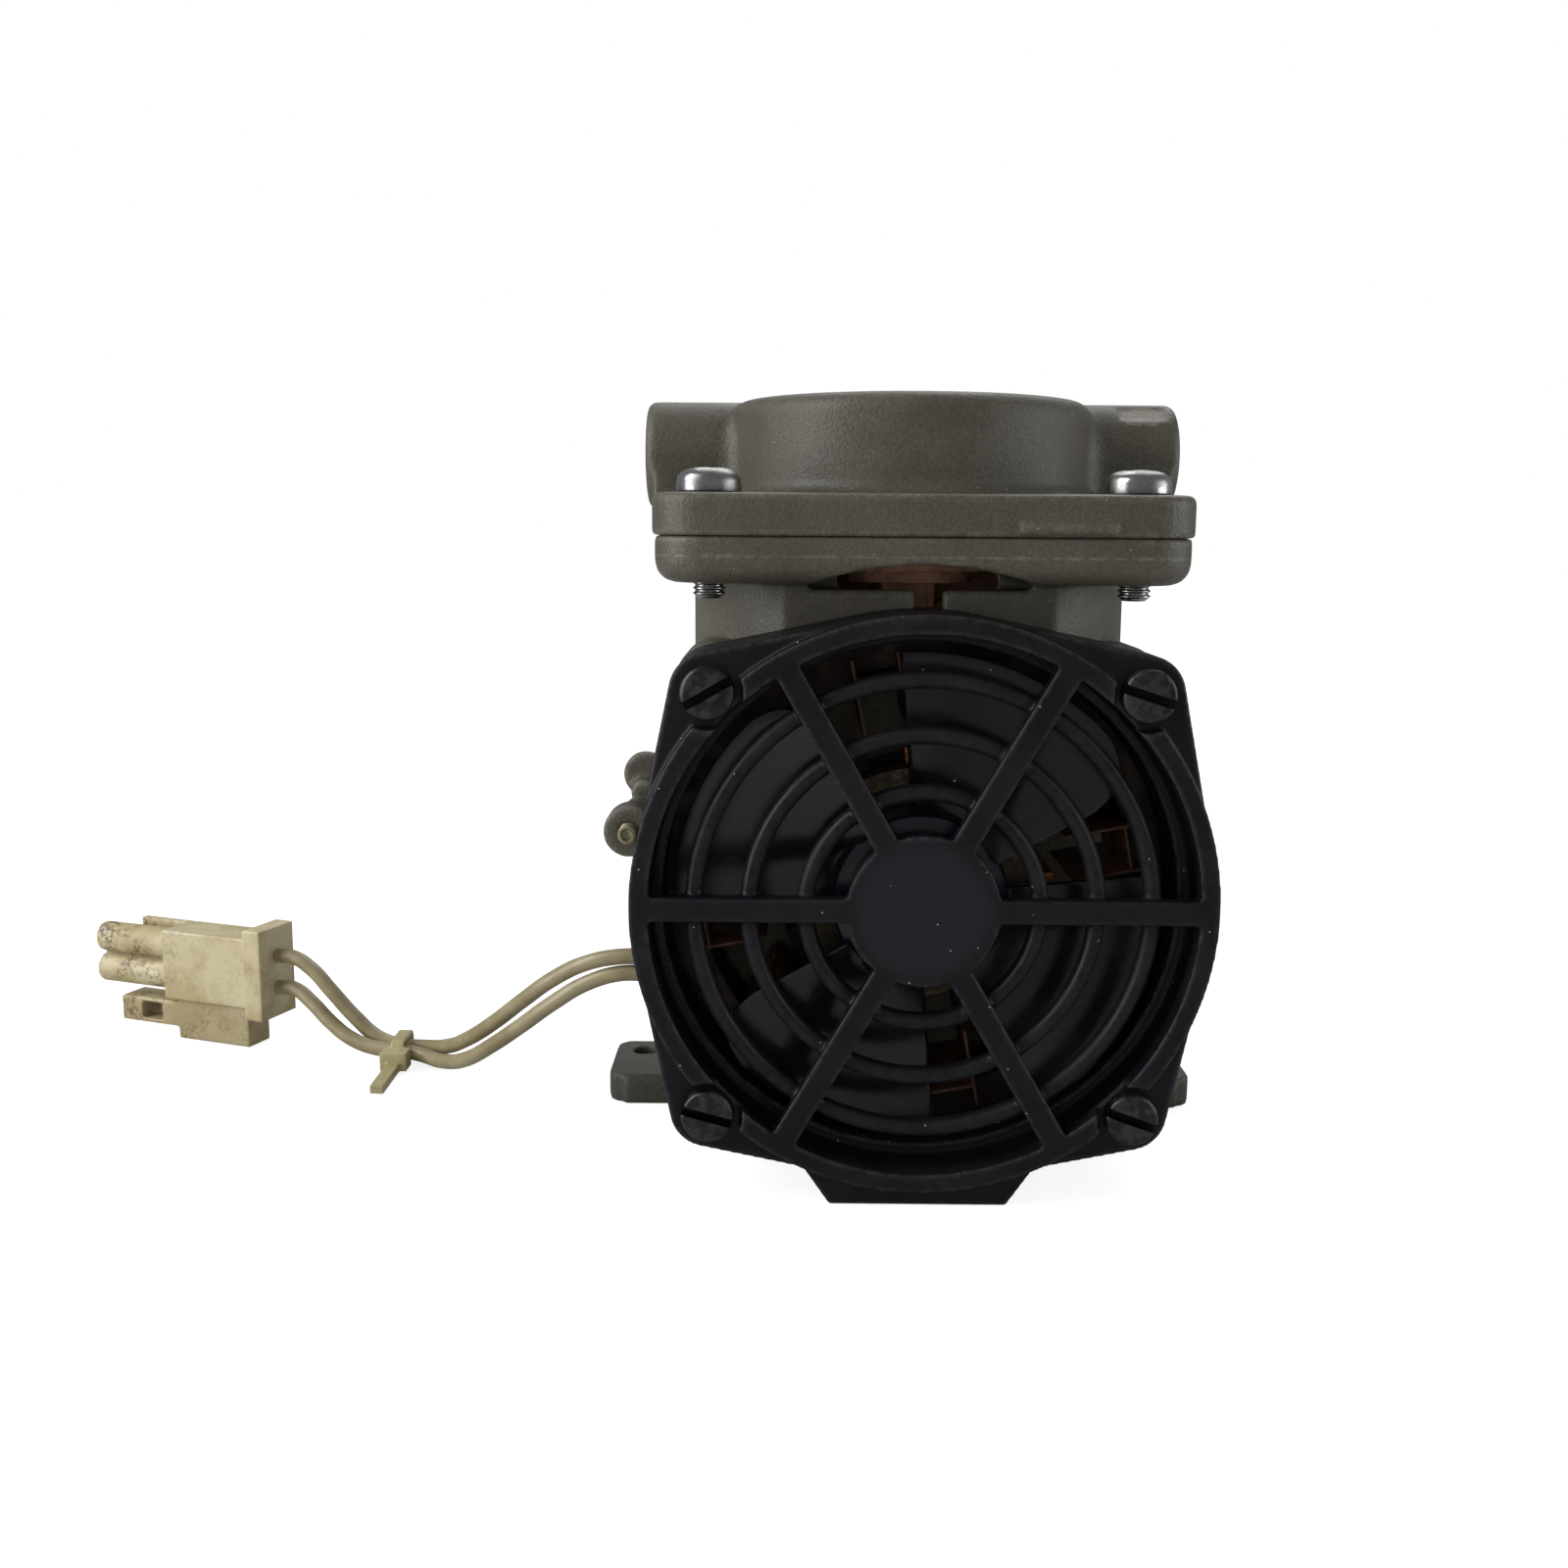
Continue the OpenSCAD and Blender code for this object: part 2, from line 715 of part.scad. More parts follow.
module rear_cover_screws() {
    color([0.62, 0.62, 0.6]) from_front() for (k = [0:3]) difference() {
        union() {
            axial(case_back + cover_t, case_back + cover_t + cover_screw_head_t)
                rotate(45 + 90 * k) translate([cover_screw_pitch_r, 0]) circle(cover_screw_head_r);
            axial(case_back - cover_screw_l + cut, case_back + cover_t + cut)
                rotate(45 + 90 * k) translate([cover_screw_pitch_r, 0]) circle(cover_screw_r);
        }
        axial(case_back + cover_t + cover_screw_head_t / 2, case_back + cover_t + 2 * cover_screw_head_t)
            rotate(45 + 90 * k) translate([cover_screw_pitch_r, 0]) {
                box_2d(cover_screw_r * 2, cross_w / 1.5);
                box_2d(cross_w / 1.5, cover_screw_r * 2);
            }
    }
}

// Die-cast head with one chamber for each port
module head_drum() {
    rotate_extrude() polygon(concat(
        [[0, 0], [drum_r + drum_foot_r, 0]],
        [for (a = [270:-15:180]) [drum_r + drum_foot_r + drum_foot_r * cos(a),
                                  2 * drum_foot_r + drum_foot_r * sin(a)]],
        [for (a = [0:15:90]) [drum_r - drum_edge_r + drum_edge_r * cos(a),
                              drum_h + drum_foot_r - drum_edge_r + drum_edge_r * sin(a)]],
        [[0, drum_h + drum_foot_r]]));
}

module port_boss() {
    translate([0, head_setback, port_z]) rotate([0, 90, 0]) rotate_extrude() polygon(concat(
        [[0, chamber_r]],
        [[port_boss_r, chamber_r]],
        [for (a = [0:30:90]) [port_boss_r - boss_edge_r + boss_edge_r * cos(a),
                              port_reach - boss_edge_r + boss_edge_r * sin(a)]],
        [[0, port_reach]]));
    translate([chamber_r, head_setback - port_boss_r, head_top_z - cut])
        cube([port_reach - boss_edge_r - chamber_r, 2 * port_boss_r, port_z - head_top_z + cut]);
}

module port_bore() {
    translate([port_reach - port_l, head_setback, port_z]) rotate([0, 90, 0])
        cylinder(r = port_r, h = port_l + cut);
    translate([chamber_r - 2 * cut, head_setback, port_z]) rotate([0, 90, 0])
        cylinder(r = port_passage_r, h = port_reach - port_l - chamber_r + 3 * cut);
}

module cylinder_head() {
    color([0.38, 0.37, 0.34]) from_front() difference() {
        union() {
            translate([0, head_setback, seam_z])
                soft_plate(head_flange_w, head_flange_t, head_corner_r, seam_edge_r, head_edge_r);
            translate([0, head_setback, head_top_z - drum_foot_r]) head_drum();
            port_boss();
            mirror([1, 0, 0]) port_boss();
        }
        upright(seam_z - cut, gasket_top_z) circle(plate_r + loose);
        difference() {
            upright(gasket_top_z - cut, chamber_top_z) circle(chamber_r);
            upright(gasket_top_z, chamber_top_z + cut) box_2d(partition_w, 2 * chamber_r);
        }
        port_bore();
        mirror([1, 0, 0]) port_bore();
        upright(seam_z - cut, head_top_z + cut) at_corners(head_pitch) circle(head_screw_r + screw_play);
    }
}

module head_screws() {
    color([0.7, 0.7, 0.68]) from_front() difference() {
        union() {
            upright(head_top_z, head_top_z + head_screw_head_t) at_corners(head_pitch)
                circle(head_screw_head_r);
            upright(case_flange_z - head_screw_stub, head_top_z + cut) at_corners(head_pitch)
                circle(head_screw_r);
        }
        upright(head_top_z + head_screw_head_t - cross_t, head_top_z + head_screw_head_t + cut)
            at_corners(head_pitch) {
                box_2d(cross_l, cross_w);
                box_2d(cross_w, cross_l);
            }
    }
}

module head_gasket() {
    color([0.16, 0.15, 0.14]) from_front() upright(plate_top_z, gasket_top_z) {
        ring_2d(plate_r, chamber_r);
        box_2d(partition_w, 2 * chamber_r + cut);
    }
}

module valve_plate() {
    color([0.6, 0.6, 0.58]) from_front() difference() {
        upright(seam_z, plate_top_z) circle(plate_r);
        upright(seam_z - cut, plate_top_z + cut) {
            translate([-valve_x, 0]) circle(valve_hole_r);
            translate([valve_x, 0]) circle(valve_hole_r);
            for (x = [-1, 1]) translate([x * (reed_root_x - reed_tab / 2), 0]) circle(rivet_r + fit);
        }
        translate([-reed_root_x - reed_l - reed_pocket_margin, head_setback - reed_w / 2 - reed_pocket_margin,
                   seam_z - cut])
            cube([reed_l + reed_tab + 2 * reed_pocket_margin, reed_w + 2 * reed_pocket_margin,
                  reed_pocket_h + cut]);
    }
}

// A flat reed that lies against its valve hole; side is -1 for the inlet
module reed(side, low) {
    translate([side < 0 ? -reed_root_x - reed_l : reed_root_x + loose, head_setback - reed_w / 2, low])
        cube([reed_l - loose, reed_w, reed_t]);
}

module inlet_reed() {
    color([0.5, 0.53, 0.58]) from_front() reed(-1, seam_z + reed_pocket_h - reed_t - loose);
}

module outlet_reed() {
    color([0.5, 0.53, 0.58]) from_front() reed(1, plate_top_z + loose);
}

// Bars and rivets that hold the reeds, with a stop over the outlet reed
module reed_clamps() {
    inlet_top = seam_z + reed_pocket_h;
    color([0.66, 0.66, 0.64]) from_front() {
        translate([-reed_root_x, head_setback - reed_w / 2, inlet_top - reed_t - clamp_bar_t])
            cube([reed_tab, reed_w, reed_t + clamp_bar_t]);
        translate([reed_root_x - reed_tab, head_setback - reed_w / 2, plate_top_z])
            cube([reed_tab, reed_w, reed_t + stop_gap]);
        translate([reed_root_x - reed_tab, head_setback - reed_w / 2, plate_top_z + reed_t + stop_gap])
            cube([reed_tab + reed_l, reed_w, stop_t]);
        upright(inlet_top - reed_t, plate_top_z)
            translate([-reed_root_x + reed_tab / 2, 0]) circle(rivet_r);
        upright(seam_z + cut, plate_top_z + reed_t)
            translate([reed_root_x - reed_tab / 2, 0]) circle(rivet_r);
    }
}

module diaphragm() {
    color([0.1, 0.1, 0.1]) from_front() translate([0, head_setback, 0]) rotate_extrude() polygon([
        [clamp_screw_r + fit, washer_top_z], [washer_r + diaphragm_t / 2, washer_top_z],
        [neck_bore_r - diaphragm_t / 3, rim_z], [diaphragm_r, rim_z], [diaphragm_r, seam_z],
        [neck_bore_r - diaphragm_t, seam_z], [dish_r + diaphragm_t / 2, clamp_z],
        [clamp_screw_r + fit, clamp_z]]);
}

module clamp_dish() {
    color([0.68, 0.69, 0.7]) from_front() difference() {
        upright(clamp_z, dish_top_z) circle(dish_r);
        upright(clamp_z - cut, dish_top_z + cut) circle(clamp_screw_r + fit);
        upright(dish_top_z - clamp_screw_head_t, dish_top_z + cut) circle(clamp_screw_head_r + fit);
    }
}

module lower_washer() {
    color([0.66, 0.67, 0.68]) from_front()
        upright(rod_top_z, washer_top_z) ring_2d(washer_r, clamp_screw_r + fit);
}

module clamp_screw() {
    color([0.4, 0.4, 0.4]) from_front() difference() {
        union() {
            upright(dish_top_z - clamp_screw_head_t, dish_top_z) circle(clamp_screw_head_r);
            upright(rod_top_z - clamp_screw_l + cut, dish_top_z - clamp_screw_head_t / 2)
                circle(clamp_screw_r);
        }
        upright(dish_top_z - clamp_screw_head_t / 2, dish_top_z + cut) circle(clamp_screw_r, $fn = 6);
    }
}

module connecting_rod() {
    bar_top = rod_top_z - axis_height - rod_flange_t / 2;
    color([0.6, 0.61, 0.62]) from_front() difference() {
        union() {
            axial(head_setback - rod_t / 2, head_setback + rod_t / 2) {
                translate([0, crank_throw]) circle(rod_ring_r);
                translate([-rod_bar_w / 2, crank_throw]) square([rod_bar_w, bar_top - crank_throw]);
            }
            upright(rod_top_z - rod_flange_t, rod_top_z) circle(rod_flange_r);
            upright(rod_top_z - rod_flange_t - rod_boss_l, rod_top_z - rod_flange_t / 2) circle(rod_boss_r);
        }
        axial(head_setback - rod_t / 2 - cut, head_setback + rod_t / 2 + cut)
            translate([0, crank_throw]) circle(rod_bearing_r + fit);
        upright(rod_top_z - clamp_screw_l, rod_top_z + cut) circle(clamp_screw_r + fit);
    }
}

// Rings of balls in a race
module balls(front, width, r, ball_r, count, rise) {
    for (k = [0:count - 1])
        translate([r * cos(360 * k / count), front + width / 2,
                   axis_height + rise + r * sin(360 * k / count)])
            sphere(ball_r, $fn = soft_fn);
}

module rod_bearing_outer() {
    color([0.72, 0.72, 0.72]) from_front()
        axial(head_setback - rod_bearing_w / 2, head_setback + rod_bearing_w / 2)
            translate([0, crank_throw]) ring_2d(rod_bearing_r, rod_bearing_race_r);
}

module rod_bearing_balls() {
    color([0.8, 0.8, 0.8]) from_front()
        balls(head_setback - rod_bearing_w / 2, rod_bearing_w,
              (rod_bearing_race_r + rod_bearing_inner_r) / 2, rod_ball_r, rod_ball_count, crank_throw);
}

module rod_bearing_inner() {
    color([0.72, 0.72, 0.72]) from_front()
        axial(head_setback - rod_bearing_w / 2, head_setback + rod_bearing_w / 2)
            translate([0, crank_throw]) ring_2d(rod_bearing_inner_r, journal_r + fit);
}

module eccentric() {
    color([0.45, 0.45, 0.46]) from_front() difference() {
        union() {
            axial(head_setback - rod_t / 2, head_setback + rod_t / 2)
                translate([0, crank_throw]) circle(journal_r);
            axial(crank_front + 0.5 * cut, head_setback - rod_t / 2 + cut) circle(spacer_r);
            axial(head_setback + rod_t / 2, collar_back) circle(collar_r);
        }
        axial(crank_front - cut, collar_back + cut) circle(shaft_r + fit);
        set_screw_hole(set_screw_r + fit, collar_r + cut);
    }
}

// A hole from the shaft straight up through the collar
module set_screw_hole(r, reach) {
    translate([0, (counterweight_front + collar_back) / 2, axis_height]) cylinder(r = r, h = reach);
}

module eccentric_screw() {
    color([0.25, 0.25, 0.25]) from_front() difference() {
        set_screw_hole(set_screw_r, collar_r - cut);
        axial(0, case_back) circle(shaft_r + loose);
    }
}

// A half disc that hangs opposite the eccentric, open at the top for the set screw
module counterweight() {
    color([0.5, 0.5, 0.5]) from_front() axial(counterweight_front, counterweight_front + counterweight_t)
        difference() {
            union() {
                circle(counterweight_ring_r);
                intersection() {
                    circle(counterweight_r);
                    translate([-counterweight_r, -counterweight_r])
                        square([2 * counterweight_r, counterweight_r]);
                }
            }
            circle(collar_r + fit);
            translate([-set_screw_r - screw_play, 0])
                square([2 * set_screw_r + 2 * screw_play, counterweight_r]);
        }
}

module shaft() {
    color([0.7, 0.7, 0.7]) from_front() axial(shaft_front, shaft_back) circle(shaft_r);
}

// Extrudes its outline once for each of the two main bearings
module both_bearings() {
    axial(front_bearing, front_bearing + bearing_w) children();
    axial(rear_bearing, rear_bearing + bearing_w) children();
}

module bearing_outer_rings() {
    color([0.72, 0.72, 0.72]) from_front() both_bearings() ring_2d(bearing_r - fit, bearing_race_r);
}

module bearing_balls() {
    r = (bearing_race_r + bearing_inner_r) / 2;
    color([0.8, 0.8, 0.8]) from_front() {
        balls(front_bearing, bearing_w, r, bearing_ball_r, bearing_ball_count, 0);
        balls(rear_bearing, bearing_w, r, bearing_ball_r, bearing_ball_count, 0);
    }
}

module bearing_inner_rings() {
    color([0.72, 0.72, 0.72]) from_front() both_bearings() ring_2d(bearing_inner_r, shaft_r + fit);
}

module rotor_core() {
    color([0.36, 0.3, 0.27]) from_front() axial(stator_front, stator_back) ring_2d(rotor_r, shaft_r + fit);
}

module rotor_end_rings() {
    color([0.66, 0.64, 0.58]) from_front() {
        axial(stator_front - end_ring_t, stator_front) ring_2d(end_ring_out_r, end_ring_out_r - end_ring_w);
        axial(stator_back, stator_back + end_ring_t) ring_2d(end_ring_out_r, end_ring_out_r - end_ring_w);
    }
}

// Outer edge of a blade, drawn in where its leading corner is round
function blade_edge(u) =
    fan_r - blade_corner_r * (1 - sqrt(max(0, 1 - pow(max(0, 1 - u / blade_corner_share), 2))));
function blade_point(u, outer, back) =
    let (r = outer ? blade_edge(u) : fan_hub_r - hub_wall / 2,
         a = blade_turn + blade_span * u,
         s = fan_front + (fan_back - fan_front - blade_t) * u + (back ? blade_t : 0))
    [r * cos(a), s, axis_height + r * sin(a)];

module blade() {
    n = blade_steps;
    ring_points = [for (i = [0:n]) each [
        blade_point(i / n, false, false), blade_point(i / n, true, false),
        blade_point(i / n, true, true), blade_point(i / n, false, true)]];
    polyhedron(points = ring_points, faces = concat(
        [[0, 1, 2], [0, 2, 3]],
        [for (i = [0:n - 1], k = [0:3]) [4 * i + k, 4 * i + 4 + k, 4 * i + (k + 1) % 4]],
        [for (i = [0:n - 1], k = [0:3]) [4 * i + (k + 1) % 4, 4 * i + 4 + k, 4 * i + 4 + (k + 1) % 4]],
        [[4 * n, 4 * n + 2, 4 * n + 1], [4 * n, 4 * n + 3, 4 * n + 2]]));
}

module fan() {
    color([0.17, 0.18, 0.2]) from_front() difference() {
        union() {
            axial(hub_front, hub_back) ring_2d(fan_hub_r, fan_hub_r - hub_wall);
            axial(hub_front, hub_front + hub_wall) circle(fan_hub_r - hub_wall / 2);
            axial(hub_front, hub_back) circle(hub_boss_r);
            for (k = [0:blade_count - 1])
                translate([0, 0, axis_height]) rotate([0, -360 * k / blade_count, 0])
                    translate([0, 0, -axis_height]) blade();
        }
        axial(hub_front - cut, hub_back + cut) circle(shaft_r + fit);
    }
}

module fan_clip() {
    color([0.55, 0.55, 0.55]) from_front()
        axial(hub_front - clip_t, hub_front) ring_2d(clip_r, shaft_r + fit);
}

module stator_core() {
    color([0.3, 0.22, 0.18]) from_front() difference() {
        axial(stator_front, stator_back) difference() {
            union() {
                ring_2d(stator_r, yoke_r);
                for (k = [0:pole_count - 1]) rotate(45 + pole_turn + 360 * k / pole_count) {
                    translate([stator_bore_r + shoe_t / 2, -pole_w / 2])
                        square([yoke_r - stator_bore_r - shoe_t / 2 + yoke_w / 2, pole_w]);
                    intersection() {
                        circle(stator_bore_r + shoe_t);
                        wedge_2d(2 * yoke_r, shoe_half_angle);
                    }
                }
            }
            circle(stator_bore_r);
            for (k = [0:pole_count - 1]) rotate(45 + pole_turn + 360 * k / pole_count) {
                shading_slot(loose);
                translate([pin_pitch_r, 0]) circle(pin_r + fit);
            }
        }
    }
}

// Outline of the slot in a pole shoe that takes the shading ring
module shading_slot(margin) {
    rotate(ring_slot_angle) translate([stator_bore_r - cut, -ring_slot_w / 2 - margin])
        square([ring_slot_depth + cut + margin, ring_slot_w + 2 * margin]);
}

// A copper ring round one side of each pole shoe
module shading_rings() {
    color([0.72, 0.42, 0.24]) from_front() for (k = [0:pole_count - 1]) {
        intersection() {
            union() {
                axial(stator_front - ring_t, stator_back + ring_t)
                    rotate(45 + pole_turn + 360 * k / pole_count) rotate(ring_slot_angle)
                        translate([stator_bore_r, -ring_slot_w / 2])
                            square([ring_slot_depth, ring_slot_w]);
                axial(stator_front - ring_t, stator_back + ring_t)
                    rotate(45 + pole_turn + 360 * k / pole_count) rotate(ring_far_angle)
                        translate([stator_bore_r, -ring_t / 2])
                            square([shoe_t, ring_t]);
                for (s = [stator_front - ring_t, stator_back]) axial(s, s + ring_t)
                    rotate(45 + pole_turn + 360 * k / pole_count)
                        intersection() {
                            ring_2d(stator_bore_r + shoe_t, stator_bore_r);
                            rotate((ring_slot_angle + ring_far_angle) / 2)
                                wedge_2d(2 * yoke_r, (ring_far_angle - ring_slot_angle) / 2);
                        }
            }
            axial(0, case_back) circle(stator_bore_r + shoe_t);
        }
    }
}

// Pins that rivet the laminations of the stator together
module stator_pins() {
    color([0.5, 0.45, 0.4]) from_front() axial(stator_front - pin_overhang, stator_back)
        for (k = [0:pole_count - 1]) rotate(45 + pole_turn + 360 * k / pole_count)
            translate([pin_pitch_r, 0]) circle(pin_r);
}

// A rounded loop round the pole; t counts turns, and each turn moves one pitch outwards
function soft_power(v) = sign(v) * pow(abs(v), loop_softness);
function loop_point(t) = [loop_w * soft_power(cos(360 * t)), loop_l * soft_power(sin(360 * t)),
                          coil_start + wire_pitch * t];
wire_path = [for (i = [0:turns * loop_points]) loop_point(i / loop_points)];
turn_gap = min([for (i = [0:(turns - 1) * loop_points], j = [-2:2])
    norm(wire_path[i] - wire_path[min(i + loop_points + j, len(wire_path) - 1)])]) - wire_d;
echo("least gap between neighbouring turns", turn_gap);

// Turns a coil drawn about Z outwards along each pole
module at_poles() {
    for (k = [0:pole_count - 1]) translate([0, coil_mid, axis_height])
        rotate([0, 90 - 45 - pole_turn - 360 * k / pole_count, 0]) children();
}

// The inner layers of each coil, taped into one solid block
module coil_cores() {
    color([0.45, 0.26, 0.15]) from_front() at_poles()
        translate([0, 0, coil_in_r]) linear_extrude(coil_out_r - coil_in_r) difference() {
            round_box_2d(2 * coil_out_w - 2 * loose, 2 * coil_out_l - 2 * loose, coil_edge_r);
            box_2d(2 * coil_in_w, 2 * coil_in_l);
        }
}

// The outer layer of each coil, one unbroken wire
module stator_windings() {
    color([0.75, 0.42, 0.2]) from_front() at_poles() tube(wire_path, wire_d / 2, wire_sides, [0, 0, 1]);
}

// Folded insulating paper in the gaps between the coils
module slot_liners() {
    color([0.36, 0.22, 0.14]) from_front() for (k = [0:pole_count - 1]) {
        axial(liner_front, liner_back) rotate(90 + pole_turn + 360 * k / pole_count) {
            for (side = [-1, 1]) translate([liner_in_r, side * liner_half_w - liner_t / 2])
                square([yoke_r - liner_in_r - liner_t, liner_t]);
            translate([yoke_r - 2 * liner_t, -liner_half_w]) square([liner_t, 2 * liner_half_w]);
        }
        axial(liner_front, stator_front - loose) rotate(90 + pole_turn + 360 * k / pole_count)
            for (side = [-1, 1]) translate([yoke_r - 2 * liner_t, side * liner_half_w - liner_t / 2])
                square([liner_fold, liner_t]);
    }
}

// Moulded guard with spokes and round ribs
module fan_guard() {
    color([0.12, 0.12, 0.13]) from_front() difference() {
        union() {
            axial(grille_t, guard_step) difference() {
                lug_outline(guard_r, lug_r);
                circle(guard_r - guard_wall);
            }
            axial(guard_step, guard_depth) difference() {
                lug_outline(guard_r, lug_r);
                circle(guard_r - guard_shroud_wall);
            }
            axial(rib_recess, guard_depth) difference() {
                polygon([[-pad_half_w - pad_flare, pad_rise - guard_r], [-pad_half_w, -axis_height],
                         [pad_half_w, -axis_height], [pad_half_w + pad_flare, pad_rise - guard_r]]);
                circle(guard_r - guard_wall / 2);
            }
            axial(0, grille_t + cut) difference() {
                ring_2d(guard_r, guard_r - front_ring_w);
                at_corners(corner_pitch) circle(guard_pocket_r);
            }
            axial(0, grille_t) {
                circle(guard_hub_r);
                for (k = [0:spoke_count - 1]) rotate(360 * k / spoke_count)
                    translate([guard_hub_r - spoke_w / 2, -spoke_w / 2])
                        square([guard_r - front_ring_w / 2 - guard_hub_r + spoke_w / 2, spoke_w]);
            }
            for (share = rib_radii_shares) translate([0, rib_recess, axis_height]) rotate([-90, 0, 0])
                rotate_extrude() translate([guard_r * share, 0]) {
                    translate([0, rib_w / 2]) circle(rib_w / 2, $fn = soft_fn);
                    translate([-rib_w / 2, rib_w / 2]) square([rib_w, rib_t - rib_w / 2]);
                }
        }
        axial(-cut, guard_depth + cut) at_corners(corner_pitch) circle(guard_screw_r + screw_play);
    }
}

module guard_screws() {
    corners = [[1, 1], [-1, 1], [-1, -1], [1, -1]];
    color([0.2, 0.19, 0.18]) from_front() for (k = [0:3]) {
        x = corners[k][0] * corner_pitch / 2;
        y = corners[k][1] * corner_pitch / 2;
        difference() {
            union() {
                axial(grille_t - guard_head_t, grille_t) translate([x, y]) circle(guard_head_r);
                axial(grille_t - cut, guard_screw_l) translate([x, y]) circle(guard_screw_r);
            }
            axial(grille_t - guard_head_t - cut, grille_t - guard_head_t + guard_slot_t)
                translate([x, y]) rotate(guard_slot_turns[k]) box_2d(3 * guard_head_r, guard_slot_w);
        }
    }
}

module ear_screw() {
    color([0.55, 0.52, 0.45]) from_front() difference() {
        axial(ear_front + ear_l - ear_screw_l, ear_front + ear_l)
            translate([ear_x, ear_z - axis_height]) circle(ear_screw_r);
        axial(0, ear_front + ear_l - ear_screw_l + cut / 2)
            translate([ear_x, ear_z - axis_height]) circle(ear_core_r);
    }
}

module lead_grommet() {
    color([0.1, 0.1, 0.1]) from_front() {
        lead_side(lead_boss_x, grommet_flange_t) grommet_outline(grommet_rim);
        lead_side(lead_boss_x + lead_boss_l / 2, lead_boss_l / 2) grommet_outline(0);
    }
}

module lead_upper() {
    color([0.78, 0.75, 0.64]) tube(upper_route, lead_r, lead_sides, [0, 0, 1]);
}

module lead_lower() {
    color([0.78, 0.75, 0.64]) tube(lower_route, lead_r, lead_sides, [0, 0, 1]);
}

module cable_tie() {
    hole_w = 2 * (lead_space + lead_r + tie_play);
    hole_h = lead_d + tie_play;
    head_y = tie_y - hole_w / 2 - tie_head_l;
    color([0.85, 0.83, 0.7]) {
        translate([tie_x + tie_w / 2, tie_y, tie_z]) rotate([0, -90, 0]) linear_extrude(tie_w)
            difference() {
                round_box_2d(hole_h + 2 * tie_wall, hole_w + 2 * tie_wall, lead_r + tie_wall / 2);
                box_2d(hole_h, hole_w);
            }
        translate([tie_x - tie_w, head_y, tie_wall / 2]) cube([2 * tie_w, tie_head_l, hole_h]);
        translate([tie_x - tie_w / 2, head_y - tie_tail_l, tie_wall / 2])
            cube([tie_w, tie_tail_l + cut, 2 * tie_wall]);
    }
}

// Turns a piece drawn along +X from its wire end into the connector's place
module at_connector() {
    translate([connector_x, connector_y, 0]) rotate([0, 0, 180 - connector_yaw]) children();
}

module connector_housing() {
    body_mid = body_z + body_h / 2;
    color([0.8, 0.77, 0.66]) at_connector() {
        difference() {
            union() {
                translate([0, -lip_t / 2, body_mid - lip_h / 2]) cube([lip_l, lip_t, lip_h]);
                translate([lip_l - cut, -body_t / 2, body_z]) cube([body_l + cut, body_t, body_h]);
                for (z = [-1, 1]) translate([lip_l + body_l - cut, 0, body_mid + z * silo_pitch / 2])
                    rotate([0, 90, 0]) cylinder(r = silo_r, h = connector_l - lip_l - body_l + cut);
                translate([lip_l + latch_root, -latch_t / 2, 0]) cube([latch_l, latch_t, latch_h + cut]);
                translate([lip_l + latch_l, -latch_t / 2, latch_h * latch_low_share]) difference() {
                    cube([latch_arm_l, latch_t, latch_h * latch_arm_share]);
                    translate([latch_arm_l - 2 * latch_window_l, -cut, latch_window_z])
                        cube([latch_window_l, latch_t + 2 * cut, latch_window_h]);
                }
                translate([lip_l + body_l - cut, -body_t / 2, body_mid + body_h / 2 - rail_h])
                    cube([rail_l, rail_t, rail_h]);
            }
            for (z = [-1, 1]) translate([connector_l - silo_bore_l, 0, body_mid + z * silo_pitch / 2])
                rotate([0, 90, 0]) cylinder(r = silo_bore_r, h = silo_bore_l + cut);
        }
    }
}

module connector_terminals() {
    color([0.72, 0.6, 0.35]) at_connector() for (z = [-1, 1])
        translate([connector_l - silo_bore_l, 0, body_z + body_h / 2 + z * silo_pitch / 2])
            rotate([0, 90, 0]) cylinder(r = terminal_r, h = terminal_l);
}

crankcase();
rear_cover();
rear_cover_screws();
cylinder_head();
head_screws();
head_gasket();
valve_plate();
inlet_reed();
outlet_reed();
reed_clamps();
diaphragm();
clamp_dish();
lower_washer();
clamp_screw();
connecting_rod();
rod_bearing_outer();
rod_bearing_balls();
rod_bearing_inner();
eccentric();
eccentric_screw();
counterweight();
shaft();
bearing_outer_rings();
bearing_balls();
bearing_inner_rings();
rotor_core();
rotor_end_rings();
fan();
fan_clip();
stator_core();
coil_cores();
stator_windings();
slot_liners();
shading_rings();
stator_pins();
fan_guard();
guard_screws();
ear_screw();
lead_grommet();
lead_upper();
lead_lower();
cable_tie();
connector_housing();
connector_terminals();
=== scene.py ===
# %% [markdown]
# This script dresses a small diaphragm pump. X runs right, Y runs back from the fan guard,
# Z is up.

# %% Load the frame
import math
import bpy
import numpy as np
from mathutils import Matrix, Vector


